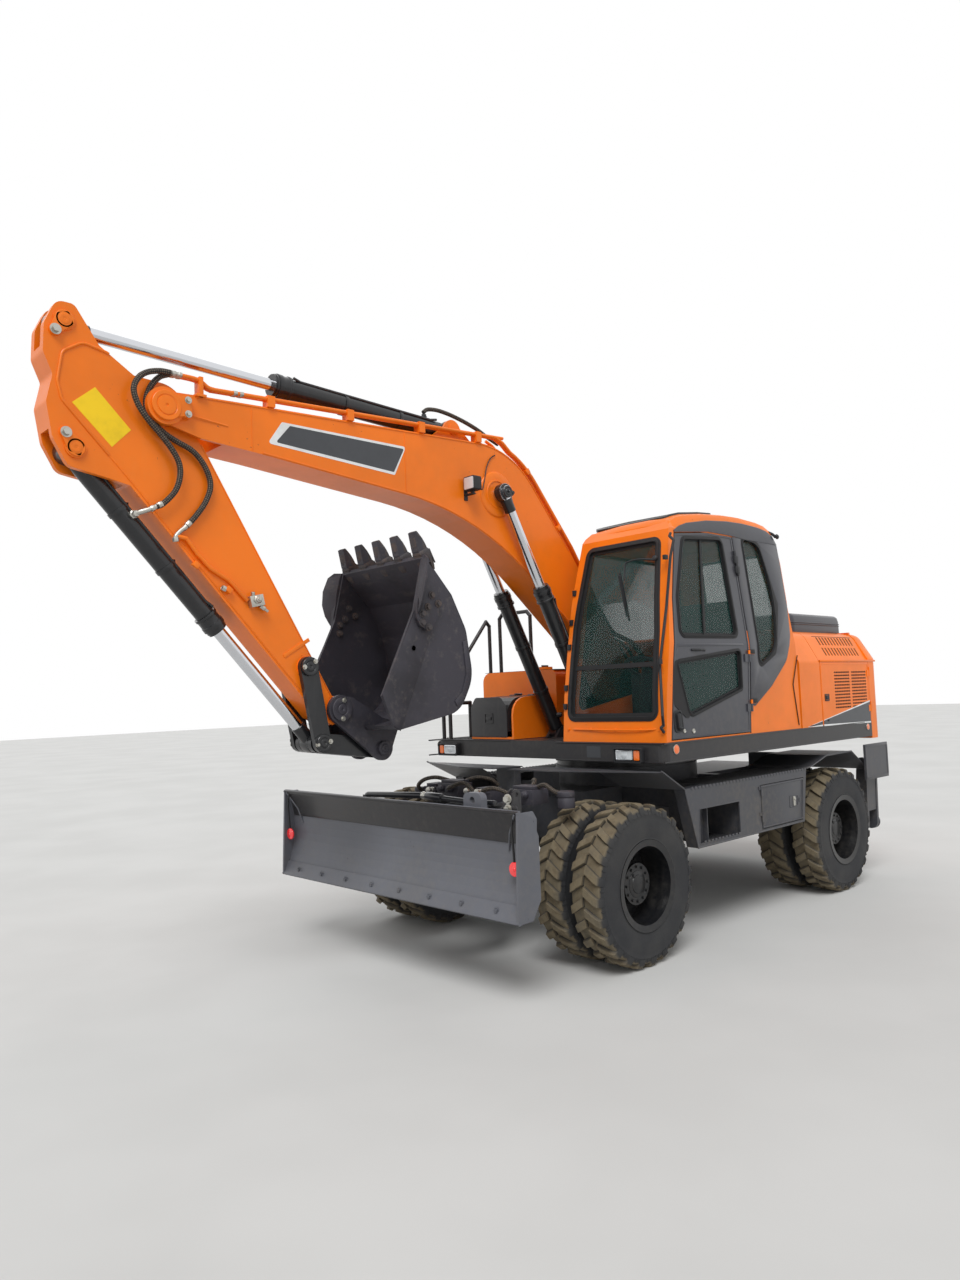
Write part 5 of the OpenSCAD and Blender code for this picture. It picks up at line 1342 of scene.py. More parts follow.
def rubberFrame(name, outline, surface, body, folds, width=26, over=5, inner=None):
    # the black rubber round a pane: a flat lip on the panel and a raised bead at the glass
    edge, sight = cornered(outline, 7), cornered(inner or outline, 9)
    lip = Shape()
    lip.plate(grown(edge, width * 0.4), [grown(sight, -width * 0.6)], surface, -14, over, folds)
    lip.plate(grown(sight, -width * 0.1), [grown(sight, -width * 0.6)], surface, over - 1, over + 4, folds)
    lip.finish(name, "seal", body, 1)


def cabWindows():
    side, front, rear = cabSide(), cabFront(), cabRear()
    rubberFrame("upperPaneRubber", cab["upper"], side, "cab_door", cab["sideFolds"])
    rubberFrame("lowerPaneRubber", cab["lower"], side, "cab_door", cab["sideFolds"], 20)
    rubberFrame("quarterRubber", cab["quarter"], side, "upper", cab["sideFolds"], 24, 5, cab["quarterRound"])
    rubberFrame("windscreenRubber", cab["front"], front, "upper", cab["frontFolds"], 34)
    rubberFrame("rearRubber", cab["rear"], rear, "upper", (2437, 2800))
    rubberFrame("rightRubber", cab["right"], cabRight(), "upper", (2500,))
    # printed black borders of the windscreen and its split, just outside the glass
    bands = Shape()
    edge = grown(cornered(cab["front"], 7), -20)
    bands.plate(edge, [grown(edge, -26)], front, -13.5, -12.5, cab["frontFolds"])
    split = [(352, 1958), (1136, 1958), (1134, 1992), (352, 1992)]
    bands.plate(split, [], front, -13.5, -9)
    bands.finish("windscreenBorder", "seal", "upper")
    sash = Shape()
    sash.plate([(556, 2160), (584, 2160), (448, 2922), (424, 2922)], [], side, -13, -4, cab["sideFolds"])
    for outline in (cab["upper"], cab["lower"]):
        edge = grown(cornered(outline, 7), -14)
        sash.plate(edge, [grown(edge, -16)], side, -13.5, -12.5, cab["sideFolds"])
    sash.plate(cornered(cab["lowerBorder"], 5), [], side, 0.3, 4)
    sash.finish("doorSash", "seal", "cab_door")


def cabDoorPieces():
    side = cabSide()
    skin = Shape()
    edge = grown(cornered(cab["door"], 6), -7)
    # a pressed rim round the door and the band of its waist
    skin.plate(edge, [grown(edge, -16)], side, 0, 3, cab["sideFolds"])
    waist = cornered([(985, 2035, 10), (960, 2112, 20), (60, 2122, 14), (60, 2106, 8), (930, 2090, 10),
                      (956, 2032, 8)], 4)
    skin.plate(waist, [], side, 0, 2.5)
    skin.finish("doorRim", "doorGrey", "cab_door", 1)
    pull = Shape()
    # the waist handle with its two ends, the latch pocket and its lever
    pull.tube(arcPath([(600, 1229, 2066), (610, 1252, 2070), (690, 1262, 2078), (760, 1252, 2070), (770, 1229, 2066)],
                      20, 5), 9, 12)
    pocket = cornered([(1040, 1640, 34), (935, 1652, 34), (915, 1500, 34), (1020, 1488, 34)], 6)
    pull.plate(pocket, [grown(pocket, -12)], side, 0, 7)
    pull.plate(grown(pocket, -12), [], side, 0, 1)
    pull.plate(cornered([(1005, 1622, 14), (965, 1626, 14), (952, 1516, 14), (992, 1510, 14)], 5), [], side, 1, 20)
    pull.tube(arcPath([(944, 1242, 1520), (978, 1256, 1512), (1000, 1250, 1530)], 14, 5), 6, 10)
    # slim hinge cover at the top of the split
    for z in (2700, 2780):
        y = along(sideFolds, z)
        pull.box((-28, y - 4, z - 28), (22, y + 16, z + 28))
    pull.tube([(0, along(sideFolds, 2650) + 12, 2650), (0, along(sideFolds, 2850) + 12, 2850)], 9, 12)
    pull.finish("doorHandles", "plastic", "cab_door", 1.4)
    locks = Shape()
    for x, z, r in ((908, 1499, 15), (795, 1493, 17)):
        locks.turned((x, 1228, z), (0, 1, 0), [(0, 0), (r, 0), (r, 5), (r - 4, 7), (r - 5, 5), (0, 5)], 24)
    locks.finish("doorLocks", "zinc", "cab_door", 0.5)


def cabRails():
    rail = Shape()
    # the grab rail along the front pillar, with its three feet
    run = [(905, 1196, 2900), (929, 1215, 2886), (936, 1196, 2855), (968, 1178, 2725), (1052, 1182, 2380),
           (1128, 1196, 1975), (1178, 1200, 1611), (1188, 1204, 1542), (1176, 1212, 1508), (1130, 1216, 1500)]
    rail.tube(arcPath(run, 50, 5), 10, 14)
    for x, y, z in ((962, 1170, 2725), (1120, 1190, 1985)):
        rail.tube([(x - 50, y - 12, z), (x + 8, y + 8, z)], 8, 10)
        rail.box((x - 20, y - 4, z - 16), (x + 14, y + 20, z + 16))
    # mirror stay at the roof's rear corner, and the clips along the right pillar
    rail.tube(loosePath([(-640, 1108, 3066), (-676, 1124, 3052), (-706, 1134, 3030)], 5), 12, 12)
    rail.turned((-708, 1135, 3030), (-0.5, 0.5, 0.2), [(0, 0), (20, 2), (22, 14), (14, 24), (0, 26)], 16)
    for z in (1690, 1830, 2140, 2330, 2560):
        x = along(frontFolds, z)
        rail.box((x - 4, 302, z - 22), (x + 16, 330, z + 22))
    rail.finish("cabRail", "plastic", "upper", 1)
    # the wiper stands inside the black border, its arm parked along the pillar
    wiper = Shape()
    wiper.turned((905, 1058, 2735), (0.97, 0, 0.24), [(0, 0), (20, 0), (20, 18), (14, 24), (0, 26)], 20)
    wiper.tube(loosePath([(925, 1058, 2726), (934, 940, 2744), (930, 830, 2738), (936, 806, 2712), (960, 812, 2600)],
                         6), 7, 10)
    wiper.box((966, 800, 2330), (984, 822, 2640), (975, 811, 2485), 14)
    wiper.box((958, 806, 2300), (972, 816, 2660), (965, 811, 2480), 14)
    wiper.finish("wiper", "plastic", "upper", 1)


def crownSide():
    # the cab's left side with the crown's flank above it
    def place(x, z, h):
        top = along(crown["top"], x)
        return (x, along(((1440, 1228), (2120, 1228), (2960, 1136), (top - 50, 1122), (top - 14, 1104)), z) + h, z)
    return place


def roofCrown():
    # one pressed shell over the roof, crowned along and across, with full rounded edges
    shell = Shape()
    rings = []
    for x in crown["stations"]:
        top = along(crown["top"], x)
        drop = {-716: 40, -700: 14, 800: 30}.get(x, 0)
        draw = {-716: 34, -700: 14, 800: 22}.get(x, 0)
        foot = min(2962, top - 70)
        left = [(1135, foot), (1122, top - 50), (1104, top - 14), (1066, top)]
        right = [(400, top - 4), (352, top - 30), (334, top - 80), (330, foot + 20)]
        ring = [(y - draw * (1 if y > 760 else -1), z - (drop if z > foot + 30 else 0)) for y, z in
                left + [(900, top + 12), (640, top + 12)] + right]
        rings.append([(x, y, z) for y, z in ring])
    shell.rings(rings)
    # the full rear corners under the crown, beside the rear pane
    corner = cornered([(-640, 2800), (-725, 2437), (-730, 2480, 20), (-724, 2800, 200), (-704, 2966), (-560, 2966)],
                      6)
    shell.plate(corner, [], crownSide(), -60, 0)
    shell.plate(corner, [], cabRight(), -60, 0)
    shell.finish("roofCrown", "orange", "upper", 3, angle=50)


def cabRoofPieces():
    roofCrown()
    roof = Shape()
    rim = cornered([(352, 742, 70), (1068, 742, 70), (1050, 90, 70), (400, 90, 70)], 6)

    def roofTop(y, x, h):
        return (x, y, along(crown["top"], x) + 12 - abs(y - 720) * 0.02 + h)

    roof.plate(rim, [grown(rim, -46)], roofTop, -10, 10, (330, 600, 700))
    roof.plate(grown(rim, -44), [], roofTop, 0, 6, (330, 600, 700))
    roof.finish("roofHatchCover", "black", "upper", 5)
    # pressed bead under the windscreen
    bead = Shape()
    bead.tube(loosePath([(1066, 1120, 1540), (1120, 1120, 1520), (1132, 800, 1516), (1120, 400, 1520)], 6), 6, 8)
    bead.finish("roofBead", "orange", "upper", 1)
    bolts("sillBolts", [(along(frontFolds, 1520), y, 1520) for y in (350, 560, 790, 1010, 1170)], (1, 0, 0), 15,
          "upper", "orange")
    panel = Shape()
    edge = cornered(cab["rearPanel"], 10)
    hole = grown(cornered(cab["quarter"], 8), 2)
    panel.plate(edge, [hole], crownSide(), 1, 4.5, (2120, 2960))
    flank = crownSide()
    rings = []
    for x in crown["stations"][1:-1] + (786,):
        low, high = along(crown["foot"], x), along(crown["arc"], x)
        rings.append([flank(x, low, -6), flank(x, low, 7), flank(x, high - 4, 7), flank(x, high, 4),
                      flank(x, high, -6)])
    panel.rings(rings)
    panel.finish("rearQuarterPanel", "doorGrey", "upper", 1)
    split = Shape()
    # dark joint behind the door and the covers of its hinges
    for low, high in (((24, 1436), (-21, 2000)), ((-21, 2000), (-6, 2960))):
        a, b = Vector((low[0], 0, low[1])), Vector((high[0], 0, high[1]))
        for k in range(4):
            p, q = a.lerp(b, k / 4), a.lerp(b, (k + 1) / 4)
            split.rings([[(r.x + dx, along(sideFolds, r.z) + dy, r.z)
                          for dx, dy in ((-9, -6), (5, -6), (5, 1), (-9, 1))] for r in (p, q)])
    for z in (1600, 1980):
        split.box((-84, 1226, z + 62), (-12, 1240, z + 96))
    split.finish("doorJoint", "seal", "upper", 1)


cabWindows()
cabDoorPieces()
cabRails()
cabRoofPieces()
print("cab dressed")


# hood, rear body and counterweight
hood = {"airBox": ((-2225, 500, 2257), (-1235, 960, 2432)),
        "endSection": [(1234, 1994), (1235, 2000, 30), (1097, 2234, 110), (905, 2272), (-905, 2272),
                       (-1097, 2234, 110), (-1235, 2000, 30), (-1234, 1994)],
        "endShape": [(-2110, 1.001, 1.003), (-2190, 1.001, 1.003), (-2236, 0.999, 0.99), (-2266, 0.992, 0.955),
                     (-2284, 0.98, 0.905), (-2290, 0.964, 0.84)],
        "seam": [(-761, 2251), (-769, 2031), (-672, 1796), (-735, 1460)], "half": 1235}


def shoulder(side=1):
    # the hood's sloping shoulder, from the ledge over the doors up to the flat top
    return lambda x, z, h: (x, side * (along(((1976, 1235), (2230, 1095), (2262, 940)), z) + h * 0.876),
                            z + h * 0.483)


def hoodPieces():
    trim, dark = Shape(), Shape()
    for side in (1, -1):
        # ledge that overhangs the doors, and a near-black sheet behind the two rows of slots, painted shade of the
        # hood's inside seen through them
        trim.box((-2258, side * 1236 - 4, 1978), (-1153, side * 1236 + 4, 1994))
        dark.plate([(-2060, 2020), (-1300, 2020), (-1300, 2212), (-2060, 2212)], [], shoulder(side), -9, -4)
    # the hood's rear end is pressed round, above the counterweight
    trim.rings([[(x, u * y, 1994 + (v - 1994) * z) for u, v in cornered(hood["endSection"], 5)]
                for x, y, z in hood["endShape"]])
    trim.finish("hoodEdges", "orange", "engine_hood", 1.5, angle=50)
    dark.finish("ventShadeSheets", "void", "engine_hood")
    intake = Shape()
    # long dark air box on the hood behind the cab
    low, high = hood["airBox"]
    plan = cornered([(low[0], low[1], 90), (high[0], low[1], 60), (high[0], high[1], 60), (low[0], high[1], 90)], 7)
    levels = ((low[2], 0), (high[2] - 60, -4), (high[2] - 24, -14), (high[2] - 6, -34), (high[2], -60))
    intake.rings([[(x, y, z) for x, y in grown(plan, d)] for z, d in levels])
    for z in (low[2] + 70, low[2] + 86):
        intake.rings([[(x, y, z + k) for x, y in grown(plan, d)] for k, d in ((0, -2), (3, 4), (7, 4), (10, -2))])
    intake.finish("airBox", "doorGrey", "engine_hood", 3)


vent = {"low": 1570, "rows": 12, "pitch": 28, "blocks": 2, "block": 340, "slots": 9, "step": 33, "start": -2040,
        "slot": (24, 13)}


def doorVents():
    # the fine mesh panel in each service door: rows of short punched slots, drawn as near-black patches standing on
    # the door's face, painted shade of the holes
    wide, tall = vent["slot"]
    for side, hand in hands:
        body = "service_door_" + hand.lower()
        wall = flatSide(hood["half"], side)
        y0, y1 = span(side, 1235, 1236.2)
        holes = Shape()
        for row in range(vent["rows"]):
            z = vent["low"] + row * vent["pitch"]
            for block in range(vent["blocks"]):
                for k in range(vent["slots"]):
                    x = vent["start"] + block * vent["block"] + k * vent["step"]
                    holes.box((x, y0, z), (x + wide, y1, z + tall))
        holes.finish("doorSlotShade" + hand, "void", body)
        rim = Shape()
        edge = rounded(-2095, 1448, -1166, 1966, 30, 5)
        rim.plate(edge, [grown(edge, -10)], wall, 0, 2)
        rim.finish("serviceDoorRim" + hand, "orange", body, 0.8)
        latch = Shape()
        pocket = rounded(-1290, 1640, -1210, 1700, 8, 4)
        latch.plate(pocket, [grown(pocket, -8)], wall, 0, 4)
        y0, y1 = span(side, 1236, 1242)
        latch.box((-1272, y0, 1652), (-1226, y1, 1688))
        latch.turned((-1249, side * 1236, 1476), (0, side, 0), [(0, 0), (11, 0), (11, 7), (0, 8)], 18)
        latch.finish("serviceLatch" + hand, "plastic", body, 1)


def badges():
    # the blank name plate, made only where it runs over the rear body and the service door
    outline = [(-876, 1435), (-2104, 1622), (-2267, 1542), (-2247, 1412), (-946, 1432)]
    inner = grown(outline, -14)
    for side, hand in hands:
        surface = flatSide(hood["half"], side)
        for label, low, high, body in (("Body", -1143, -800, "upper"),
                                       ("Door", -2095, -1168, "service_door_" + hand.lower())):
            for name, form, finish, depth in (("Edge", outline, "plateWhite", 2.6),
                    ("Face", inner, "plateDark", 3.2)):
                part = cutX([tuple(p) for p in form], low, high)
                if len(part) > 2:
                    Shape().plate(part, [], surface, 0.4, depth).finish("badge" + name + label + hand, finish, body)


def coverPieces():
    trim = Shape()
    # dark cover in the middle of the hood, with its ribs
    rim = rounded(-1950, -380, -1300, 380, 50, 6)
    for z, d in ((2272, 6), (2300, 3)):
        trim.plate(grown(rim, d), [grown(rim, -12)], level(z), 0, 8)
    for k in range(7):
        x = -1880 + k * 86
        trim.box((x, -300, 2339), (x + 34, 300, 2346))
    trim.finish("intakeCover", "black", "engine_hood", 3)
    seam = Shape()
    for side in (1, -1):
        # the hood's front seam
        path = [(x, side * 1233, z) for x, z in hood["seam"]]
        seam.tube(path[1:], 4, 6)
    seam.finish("bodySeams", "void", "upper")
    handles = Shape()
    for y in (-700, 700):
        handles.tube(arcPath([(-2080, y - 70, 2262), (-2080, y - 60, 2300), (-2080, y + 60, 2300),
                              (-2080, y + 70, 2262)], 24, 5), 8, 10)
    handles.finish("hoodHandles", "plastic", "engine_hood")


hoodPieces()
doorVents()
badges()
coverPieces()
print("rear dressed")


# deck, toolbox, tank, handrails and lamps
lampRows = [("Left", 1171, 850, 1000, 1004, 1060), ("Right", 1068, -1100, -950, -1160, -1104)]


def lampPieces():
    for hand, x, white0, white1, amber0, amber1 in lampRows:
        low, high = min(white0, amber0), max(white1, amber1)
        case = Shape()
        edge = rounded(low - 16, 1292, high + 16, 1400, 14, 5)
        case.plate(edge, [grown(edge, -12)], facingX(x), 0, 44)
        case.box((x, low - 10, 1388), (x + 52, high + 10, 1396))
        case.finish("lampFrame" + hand, "plastic", "upper", 2)
        white = rounded(white0 + 4, 1312, white1 - 4, 1380, 12, 5)
        glass = Shape()
        glass.plate(white, [], facingX(x + 32), 0, 5)
        middle = (white0 + white1) / 2
        glass.turned((x + 36, middle, 1346), (1, 0, 0), [(0, 4), (24, 3), (30, 0)], 24)
        glass.finish("headLens" + hand, "lens", "upper", 1)
        Shape().plate(grown(white, 3), [grown(white, -5)], facingX(x + 33), 0, 6).finish("headRim" + hand,
            "chrome", "upper", 0.5)
        turn = rounded(amber0 + 4, 1312, amber1 - 4, 1380, 8, 4)
        Shape().plate(turn, [], facingX(x + 32), 0, 7).finish("turnLens" + hand, "amber", "upper", 1.5)


def roundReflector(name, centre, facing, radius, body, finish):
    rim = [(0, 0), (radius, 0), (radius, 5), (radius - 3, 7), (radius - 4, 5), (0, 5)]
    Shape().turned(centre, facing, rim, 32).finish(name + "Rim", "zinc", body, 0.4)
    dome = [(0, 0), (radius - 4, 0), (radius - 5, 3), (0, 4.5)]
    Shape().turned(Vector(centre) + Vector(facing) * 4, facing, dome, 32).finish(name, finish, body, slotName="lamp")


deck = {"low": 1297, "high": 1424,
        "lips": (((1165, 1233), (-1960, 1233)), ((1165, -1233), (-1960, -1233)), ((1170, 1229), (1170, 260)),
                 ((1067, -330), (1067, -1229))),
        "grip": [(1050, -320, 20), (1050, -1215, 20), (500, -1215, 20), (500, -860, 20), (560, -840, 10),
                 (560, -320, 20)],
        "upperGrip": [(470, -340, 20), (470, -1225, 20), (-770, -1225, 20), (-770, -340, 20)]}


def deckPieces():
    for side, hand in hands:
        roundReflector("deckReflector" + hand, (1029, side * 1235, 1380), (0, side, 0), 34, "upper", "amber")
        roundReflector("rearReflector" + hand, (-2020, side * 1235, 1380), (0, side, 0), 30, "upper", "amber")
    edge = Shape()
    # rolled lips along the deck's sides and front, at its top and its foot
    for start, stop in deck["lips"]:
        for z in (deck["high"], deck["low"]):
            edge.tube([start + (z,), stop + (z,)], 6, 8)
    edge.finish("deckLips", "black", "upper")
    grip = Shape()
    grip.plate(cornered(deck["grip"]), [], level(1430), 0, 3)
    grip.plate(cornered(deck["upperGrip"]), [], level(2000), 0, 3)
    grip.finish("deckGrip", "grip", "upper")
    plate = [(560, 1320, 6), (690, 1320, 6), (690, 1402, 6), (560, 1402, 6)]
    blankPlate("deckPlateFront", plate, facingX(1171), "upper", 4, "plateDark", "black_paint")


def toolboxPieces():
    lid = Shape()
    lid.plate(cornered([(-400, 1450, 10), (-400, 1700, 40), (-470, 1780, 40), (-770, 1780, 40), (-828, 1700, 40),
                        (-828, 1450, 10)], 6), [], facingX(1020), 0, 5)
    pocket = rounded(-560, 1560, -660, 1650, 10, 5)
    lid.plate(pocket, [grown(pocket, -9)], facingX(1025), 0, 5)
    lid.box((1024, -640, 1592), (1034, -580, 1616))
    lid.finish("toolboxFace", "black", "toolbox_lid", 3)
    hinge = Shape()
    for x in (640, 940):
        hinge.tube([(x - 40, -340, 1796), (x + 40, -340, 1796)], 10, 12)
    hinge.finish("toolboxHinges", "black", "toolbox_lid", 1)
    cap = Shape()
    cap.turned((100, -800, 2000), (0, 0, 1), [(0, 0), (74, 0), (74, 8), (62, 10), (62, 34), (56, 40), (0, 42)], 36)
    cap.box((60, -808, 2040), (140, -792, 2056))
    cap.finish("fuelCap", "plastic", "upper", 1)
    strap = Shape()
    for x in (-560, 260):
        strap.box((x - 24, -1238, 1440), (x + 24, -1233, 1990))
    strap.finish("tankStraps", "black", "upper", 1)


def railPieces():
    feet = []
    for x, y in ((1002, -1195), (560, -1195)):
        feet += [(x + dx, y, 1430) for dx in (-26, 26)]
    bolts("railFootBolts", feet, (0, 0, 1), 14, "upper")


lampPieces()
deckPieces()
toolboxPieces()
railPieces()
print("deck dressed")


# blade
blade = {"top": (2610, 1133), "foot": (2637, 510), "radius": 620, "width": 2494}


def bladeArc():
    # centre and angles of the curved face
    top, foot = Vector(blade["top"]), Vector(blade["foot"])
    half = (top - foot).length / 2
    ahead = (top - foot).normalized()
    centre = (top + foot) / 2 + Vector((ahead.y, -ahead.x)) * sqrt(blade["radius"] ** 2 - half ** 2)
    low, high = foot - centre, top - centre
    return centre, atan2(low.y, low.x) % (2 * pi), atan2(high.y, high.x) % (2 * pi)


def bladeFace():
    # u runs across the machine, v from 0 at the foot to 1 at the top, in front of the curved sheet
    centre, low, high = bladeArc()

    def place(y, v, h):
        a = low + (high - low) * v
        r = blade["radius"] - h
        return (centre.x + r * cos(a), y, centre.y + r * sin(a))
    return place


def bladePieces():
    face = bladeFace()
    half = blade["width"] / 2
    steps = [i / 12 for i in range(13)]

    def sheetOf(shape, y0, y1, v0, v1, low, high, parts=12):
        shape.rings([[face(y, v0 + (v1 - v0) * k / parts, h)
                      for y, h in ((y0, low), (y1, low), (y1, high), (y0, high))] for k in range(parts + 1)])

    upper = Shape()
    # dark sheet over the upper third, painted shade under the overhang of the top edge, with a weld along its foot,
    # and the rolled top edge
    sheetOf(upper, -half + 46, half - 30, 0.7, 0.985, 0.5, 7)
    upper.tube([face(-half + 46, 0.7, 2), face(half - 30, 0.7, 2)], 5, 6)
    upper.tube([(2606, -half + 4, 1129), (2606, half - 4, 1129)], 9, 10)
    upper.tube([(2594, -half + 4, 1126), (2594, half - 4, 1126)], 5, 8)
    upper.finish("bladeUpperShade", "black", "blade", 1, slotName="grey_paint")
    edge = Shape()
    # cutting edge bolted along the foot
    sheetOf(edge, -half + 2, half - 2, 0.0, 0.16, 0.5, 9, 4)
    for side in (1, -1):
        # side skins: a doubler with a square hole at the top and a stiff edge along the front
        y = side * half
        outline = [(2604, 1128), (2490, 1128), (2458, 1080), (2470, 900), (2560, 890), (2574, 900)]
        hole = rounded(2486, 1040, 2512, 1072, 6, 3)
        edge.plate(cornered([(x, z, 16) for x, z in outline], 4), [hole],
                   lambda x, z, h, s=side: (x, s * (half - 4 + h), z), -1, 3)
        rings = []
        for v in steps:
            a, b = Vector(face(y - side * 14, v, 0)), Vector(face(y - side * 14, v, 10))
            rings.append([a, b, b + Vector((0, side * 13, 0)), a + Vector((0, side * 13, 0))])
        edge.rings(rings)
        # gusset seam in the face's upper corner
        edge.tube([face(side * (half - 34), 0.98, 8), face(side * (half - 120), 0.78, 8),
                   face(side * (half - 150), 0.62, 3)], 6, 6)
    edge.finish("bladeEdge", "bladeGrey", "blade", 1.2)
    bolts("bladeEdgeBolts", [face(y, 0.085, 9) for y in [i * 300 - 1050 for i in range(8)]], (0.98, 0, -0.2), 22,
          "blade", "bladeGrey")
    for side, hand in hands:
        strip = Shape()
        strip.tube(loosePath([(2600, side * 1190, 1120), (2612, side * 1191, 1040), (2606, side * 1192, 940),
                              (2600, side * 1191, 850)], 5), 7, 8)
        strip.box((2586, side * 1190 - 14, 1100), (2608, side * 1190 + 14, 1132))
        strip.finish("reflectorStrip" + hand, "seal", "blade", 1)
        lens = [(0, 0), (40, 0), (42, 3), (42, 10), (38, 14), (12, 14), (10, 18), (0, 18)]
        Shape().turned((2591, side * 1190, 808), (1, 0, 0), lens, 36).finish("bladeReflector" + hand, "red", "blade",
            0.8)
    eye = Shape()
    # lifting eye and its two bolts behind the blade's left end
    ear = cornered([(2470, 1090), (2470, 1226, 40), (2500, 1258, 24), (2540, 1226, 30), (2556, 1120), (2556, 1090)],
                   5)
    hole = [(2508 + 13 * cos(radians(a)), 1216 + 13 * sin(radians(a))) for a in range(0, 360, 30)]
    for y in (1096, 1132):
        eye.plate(ear, [hole], flatSide(y), -6, 6)
    eye.plate(cornered([(1060, 1096, 10), (1180, 1096, 10), (1180, 1160, 20), (1060, 1160, 20)], 4), [],
              facingX(2546), -6, 6)
    eye.finish("bladeEye", "black", "blade", 1.5, slotName="grey_paint")
    bolts("towBolts", [(2553, 1112, 1196), (2553, 1114, 1138)], (1, 0, 0), 34, "blade")
    tube = Shape()
    tube.tube(arcPath([(2452, -417, 1100), (2452, -417, 1146), (2452, -380, 1158), (2452, 226, 1158)], 26, 5), 21, 14)
    tube.tube([(2452, 262, 1158), (2452, 413, 1154)], 26, 14)
    tube.tube(loosePath([(2452, 410, 1152), (2450, 600, 1146), (2446, 780, 1146), (2442, 890, 1146)], 6), 17, 12)
    tube.box((2430, -420, 1090), (2474, -380, 1132))
    tube.finish("bladeRail", "barrel", "blade", 1)
    nut = [(0, 0), (27, 0), (27, 16), (22, 18), (22, 30), (25, 32), (25, 44), (0, 44)]
    Shape().turned((2452, 222, 1158), (0, 1, 0), nut, 8).finish("bladeRailJoint", "zinc", "blade", 0.6)


valves = {
    "blocks": (((1700, -330, 1040), (1850, -110, 1160)), ((1700, 60, 1040), (1860, 240, 1120)),
               ((1690, 420, 1050), (1850, 640, 1150)), ((1640, -560, 1040), (1800, -420, 1120))),
    "plugs": ((-280, 1150), (-180, 1150), (110, 1120), (180, 1120), (470, 1150), (580, 1150)),
    "hoses": ([(1760, -300, 1170), (1820, -380, 1196), (1860, -470, 1180), (1850, -560, 1130), (1780, -600, 1080)],
              [(1880, -180, 1130), (1930, -90, 1150), (1900, 20, 1178), (1880, 110, 1110)],
              [(1880, 180, 1100), (1940, 260, 1140), (1930, 360, 1160), (1880, 470, 1120)],
              [(1760, 600, 1160), (1790, 700, 1186), (1800, 790, 1150), (1780, 850, 1130)],
              [(1700, -180, 1170), (1640, -120, 1190), (1560, -60, 1170), (1500, -40, 1120)],
              [(1720, 520, 1160), (1640, 470, 1190), (1560, 380, 1180), (1490, 320, 1120)]),
    "ends": ((65, 1125), (174, 1123), (-354, 1111)),
}


def valveBank():
    # hoses, valves and caps that show over the blade in front of the slew ring
    block = Shape()
    for low, high in valves["blocks"]:
        block.box(low, high)
        block.box((low[0] + 20, low[1] + 16, high[2] - 2), (high[0] - 20, high[1] - 16, high[2] + 22))
    for y, z in valves["plugs"]:
        block.turned((1870, y, z - 30), (1, 0, 0), [(0, -30), (26, -30), (26, 0), (20, 4), (20, 26), (0, 26)], 8)
    block.turned((1760, 860, 1040), (0, 0, 1), [(0, 0), (58, 0), (58, 60), (52, 70), (60, 74), (60, 104), (52, 110),
        (0, 112)], 28)
    block.turned((1770, -640, 1040), (0, 0, 1), [(0, 0), (40, 0), (40, 60), (30, 68), (0, 70)], 24)
    block.finish("valveBlocks", "cast", "chassis", 2.5)
    lines = Shape()
    for points in valves["hoses"]:
        lines.tube(loosePath(points, 6), 15, 10)
    lines.finish("valveHoses", "hose", "chassis")
    ends = Shape()
    for y, z in valves["ends"]:
        ends.turned((1895, y, z), (1, 0.1, 0.05),
                    [(0, -20), (20, -20), (20, 2), (16, 4), (16, 22), (22, 24), (22, 40), (0, 40)], 8)
    ends.finish("valveEnds", "zinc", "chassis", 0.8)


step = {"teeth": ((-860, 880, 1089, 10), (200, 735, 700, 8)), "pitch": 46,
        "hole": [(198, 695, 6), (737, 695, 6), (725, 934, 6), (198, 934, 6)],
        "door": [(-764, 692, 8), (-124, 692, 8), (-124, 1018, 8), (-808, 1018, 8)]}


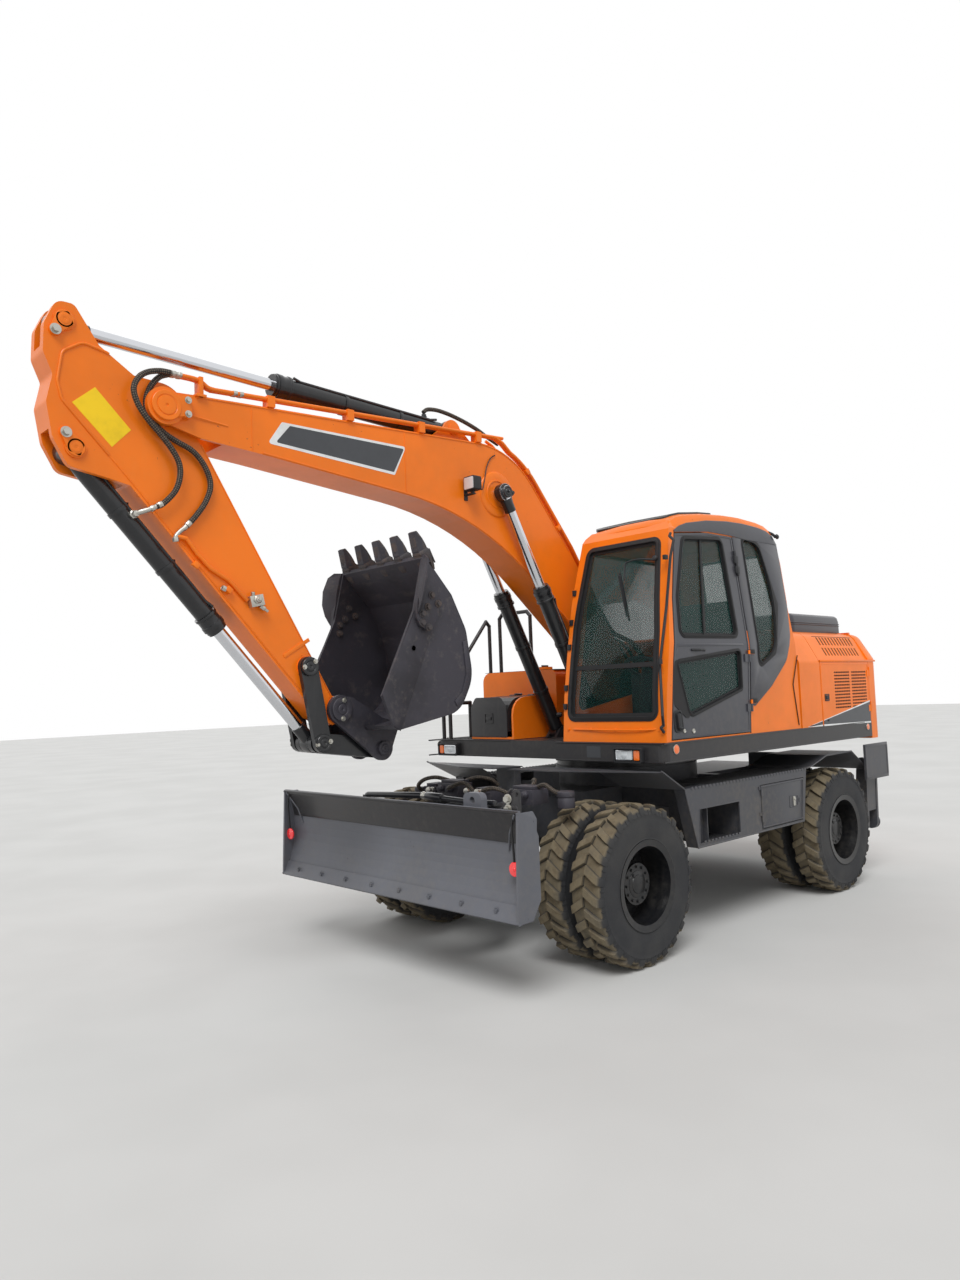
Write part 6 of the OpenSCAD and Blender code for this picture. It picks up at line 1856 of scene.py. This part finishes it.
def stepPieces():
    for side, hand in hands:
        grip = Shape()
        # notched tread along the top and the sill of each step
        for x0, x1, z, tall in step["teeth"]:
            for k in range(int((x1 - x0) / step["pitch"])):
                x = x0 + k * step["pitch"]
                grip.box((x, side * 1200.5 - 2.5, z - tall), (x + 26, side * 1200.5 + 2.5, z + tall))
        grip.finish("stepTeeth" + hand, "grey", "chassis", 1)
        tread = Shape()
        tread.plate([(-850, side * 830), (540, side * 830), (540, side * 1190), (-850, side * 1190)], [],
                    level(1093), 0, 3)
        tread.finish("stepTread" + hand, "grip", "chassis")
        rim = Shape()
        hole = cornered(step["hole"], 4)
        rim.plate(grown(hole, 9), [grown(hole, 1)], flatSide(1199, side), 0, 3)
        rim.tube([(-796, side * 1196, 669), (764, side * 1196, 669), (892, side * 1196, 1090)], 7, 8)
        rim.finish("stepRim" + hand, "grey", "chassis", 0.8)
    door = Shape()
    edge = cornered(step["door"], 4)
    door.plate(edge, [], flatSide(1200), 0.4, 1.6)
    seam = [(x, 1202, z) for x, z in grown(edge, -8)]
    door.tube(seam + seam[:1], 5, 6)
    door.plate(rounded(-700, 800, -560, 900, 10, 4),
               [rounded(-690, 810, -570, 890, 6, 4)], flatSide(1200), 0, 4)
    door.finish("lockerRim", "grey", "locker_door", 0.8)
    latch = Shape()
    latch.plate(rounded(-652, 812, -618, 888, 6, 4), [], flatSide(1200), 1, 7)
    latch.turned((-635, 1206, 868), (0, 1, 0), [(0, 0), (12, 0), (12, 7), (9, 9), (0, 9)], 20)
    latch.finish("lockerLatch", "zinc", "locker_door", 0.6)


outrigger = {"legX": -2165, "pad": (-2405, 900, -1925, 1220), "ribs": (-2300, -2030)}


def outriggerPieces():
    for side, hand in hands:
        body = "outrigger_pad_" + hand.lower()
        pad = Shape()
        edge = rounded(*outrigger["pad"], 40, 6)
        pad.plate(edge, [grown(edge, -26)], flatSide(1240, side), 0, 3)
        for x in outrigger["ribs"]:
            pad.box((x - 8, side * 1212 - 12, 930), (x + 8, side * 1212 + 12, 1190))
        pad.finish("padRim" + hand, "grey", body, 1.5)
        knobs = Shape()
        for ahead, reach in ((-1, 152), (1, 140)):
            knobs.turned((outrigger["legX"] + ahead * reach, side * 1110, 480), (ahead, 0, 0),
                         [(0, 0), (44, 0), (44, 8), (30, 12), (9, 12), (6, 6), (0, 6)], 28)
        knobs.finish("legPins" + hand, "grey", "chassis", 1)


def fenderPieces():
    trim = Shape()
    for side in (1, -1):
        # folded lips along the outer edges of the fenders
        trim.tube([(900, side * 1200, 1093), (1186, side * 1226, 1238), (1200, side * 1226, 1243)], 6, 8)
        trim.tube([(-871, side * 1198, 1092), (-980, side * 1198, 1104), (-1248, side * 1198, 1172),
                   (-1732, side * 1198, 1176), (-2030, side * 1198, 1000)], 7, 8)
    trim.finish("fenderLips", "grey", "chassis", 1)


bladePieces()
valveBank()
stepPieces()
outriggerPieces()
fenderPieces()
print("undercarriage dressed")
floorForm = Shape().box((-60000, -60000, -40), (60000, 60000, 0))
floor = floorForm.finish("floor", "plateWhite")
floorPaint = Finish("paleFloor")
floor.data.materials[0] = floorPaint.close(Base_Color=floorPaint.blend(floorPaint.noise(0.7, 3, 0.5).ramp(0.3, 0.7),
    (0.56, 0.56, 0.55, 1), (0.6, 0.6, 0.59, 1)), Roughness=0.9)
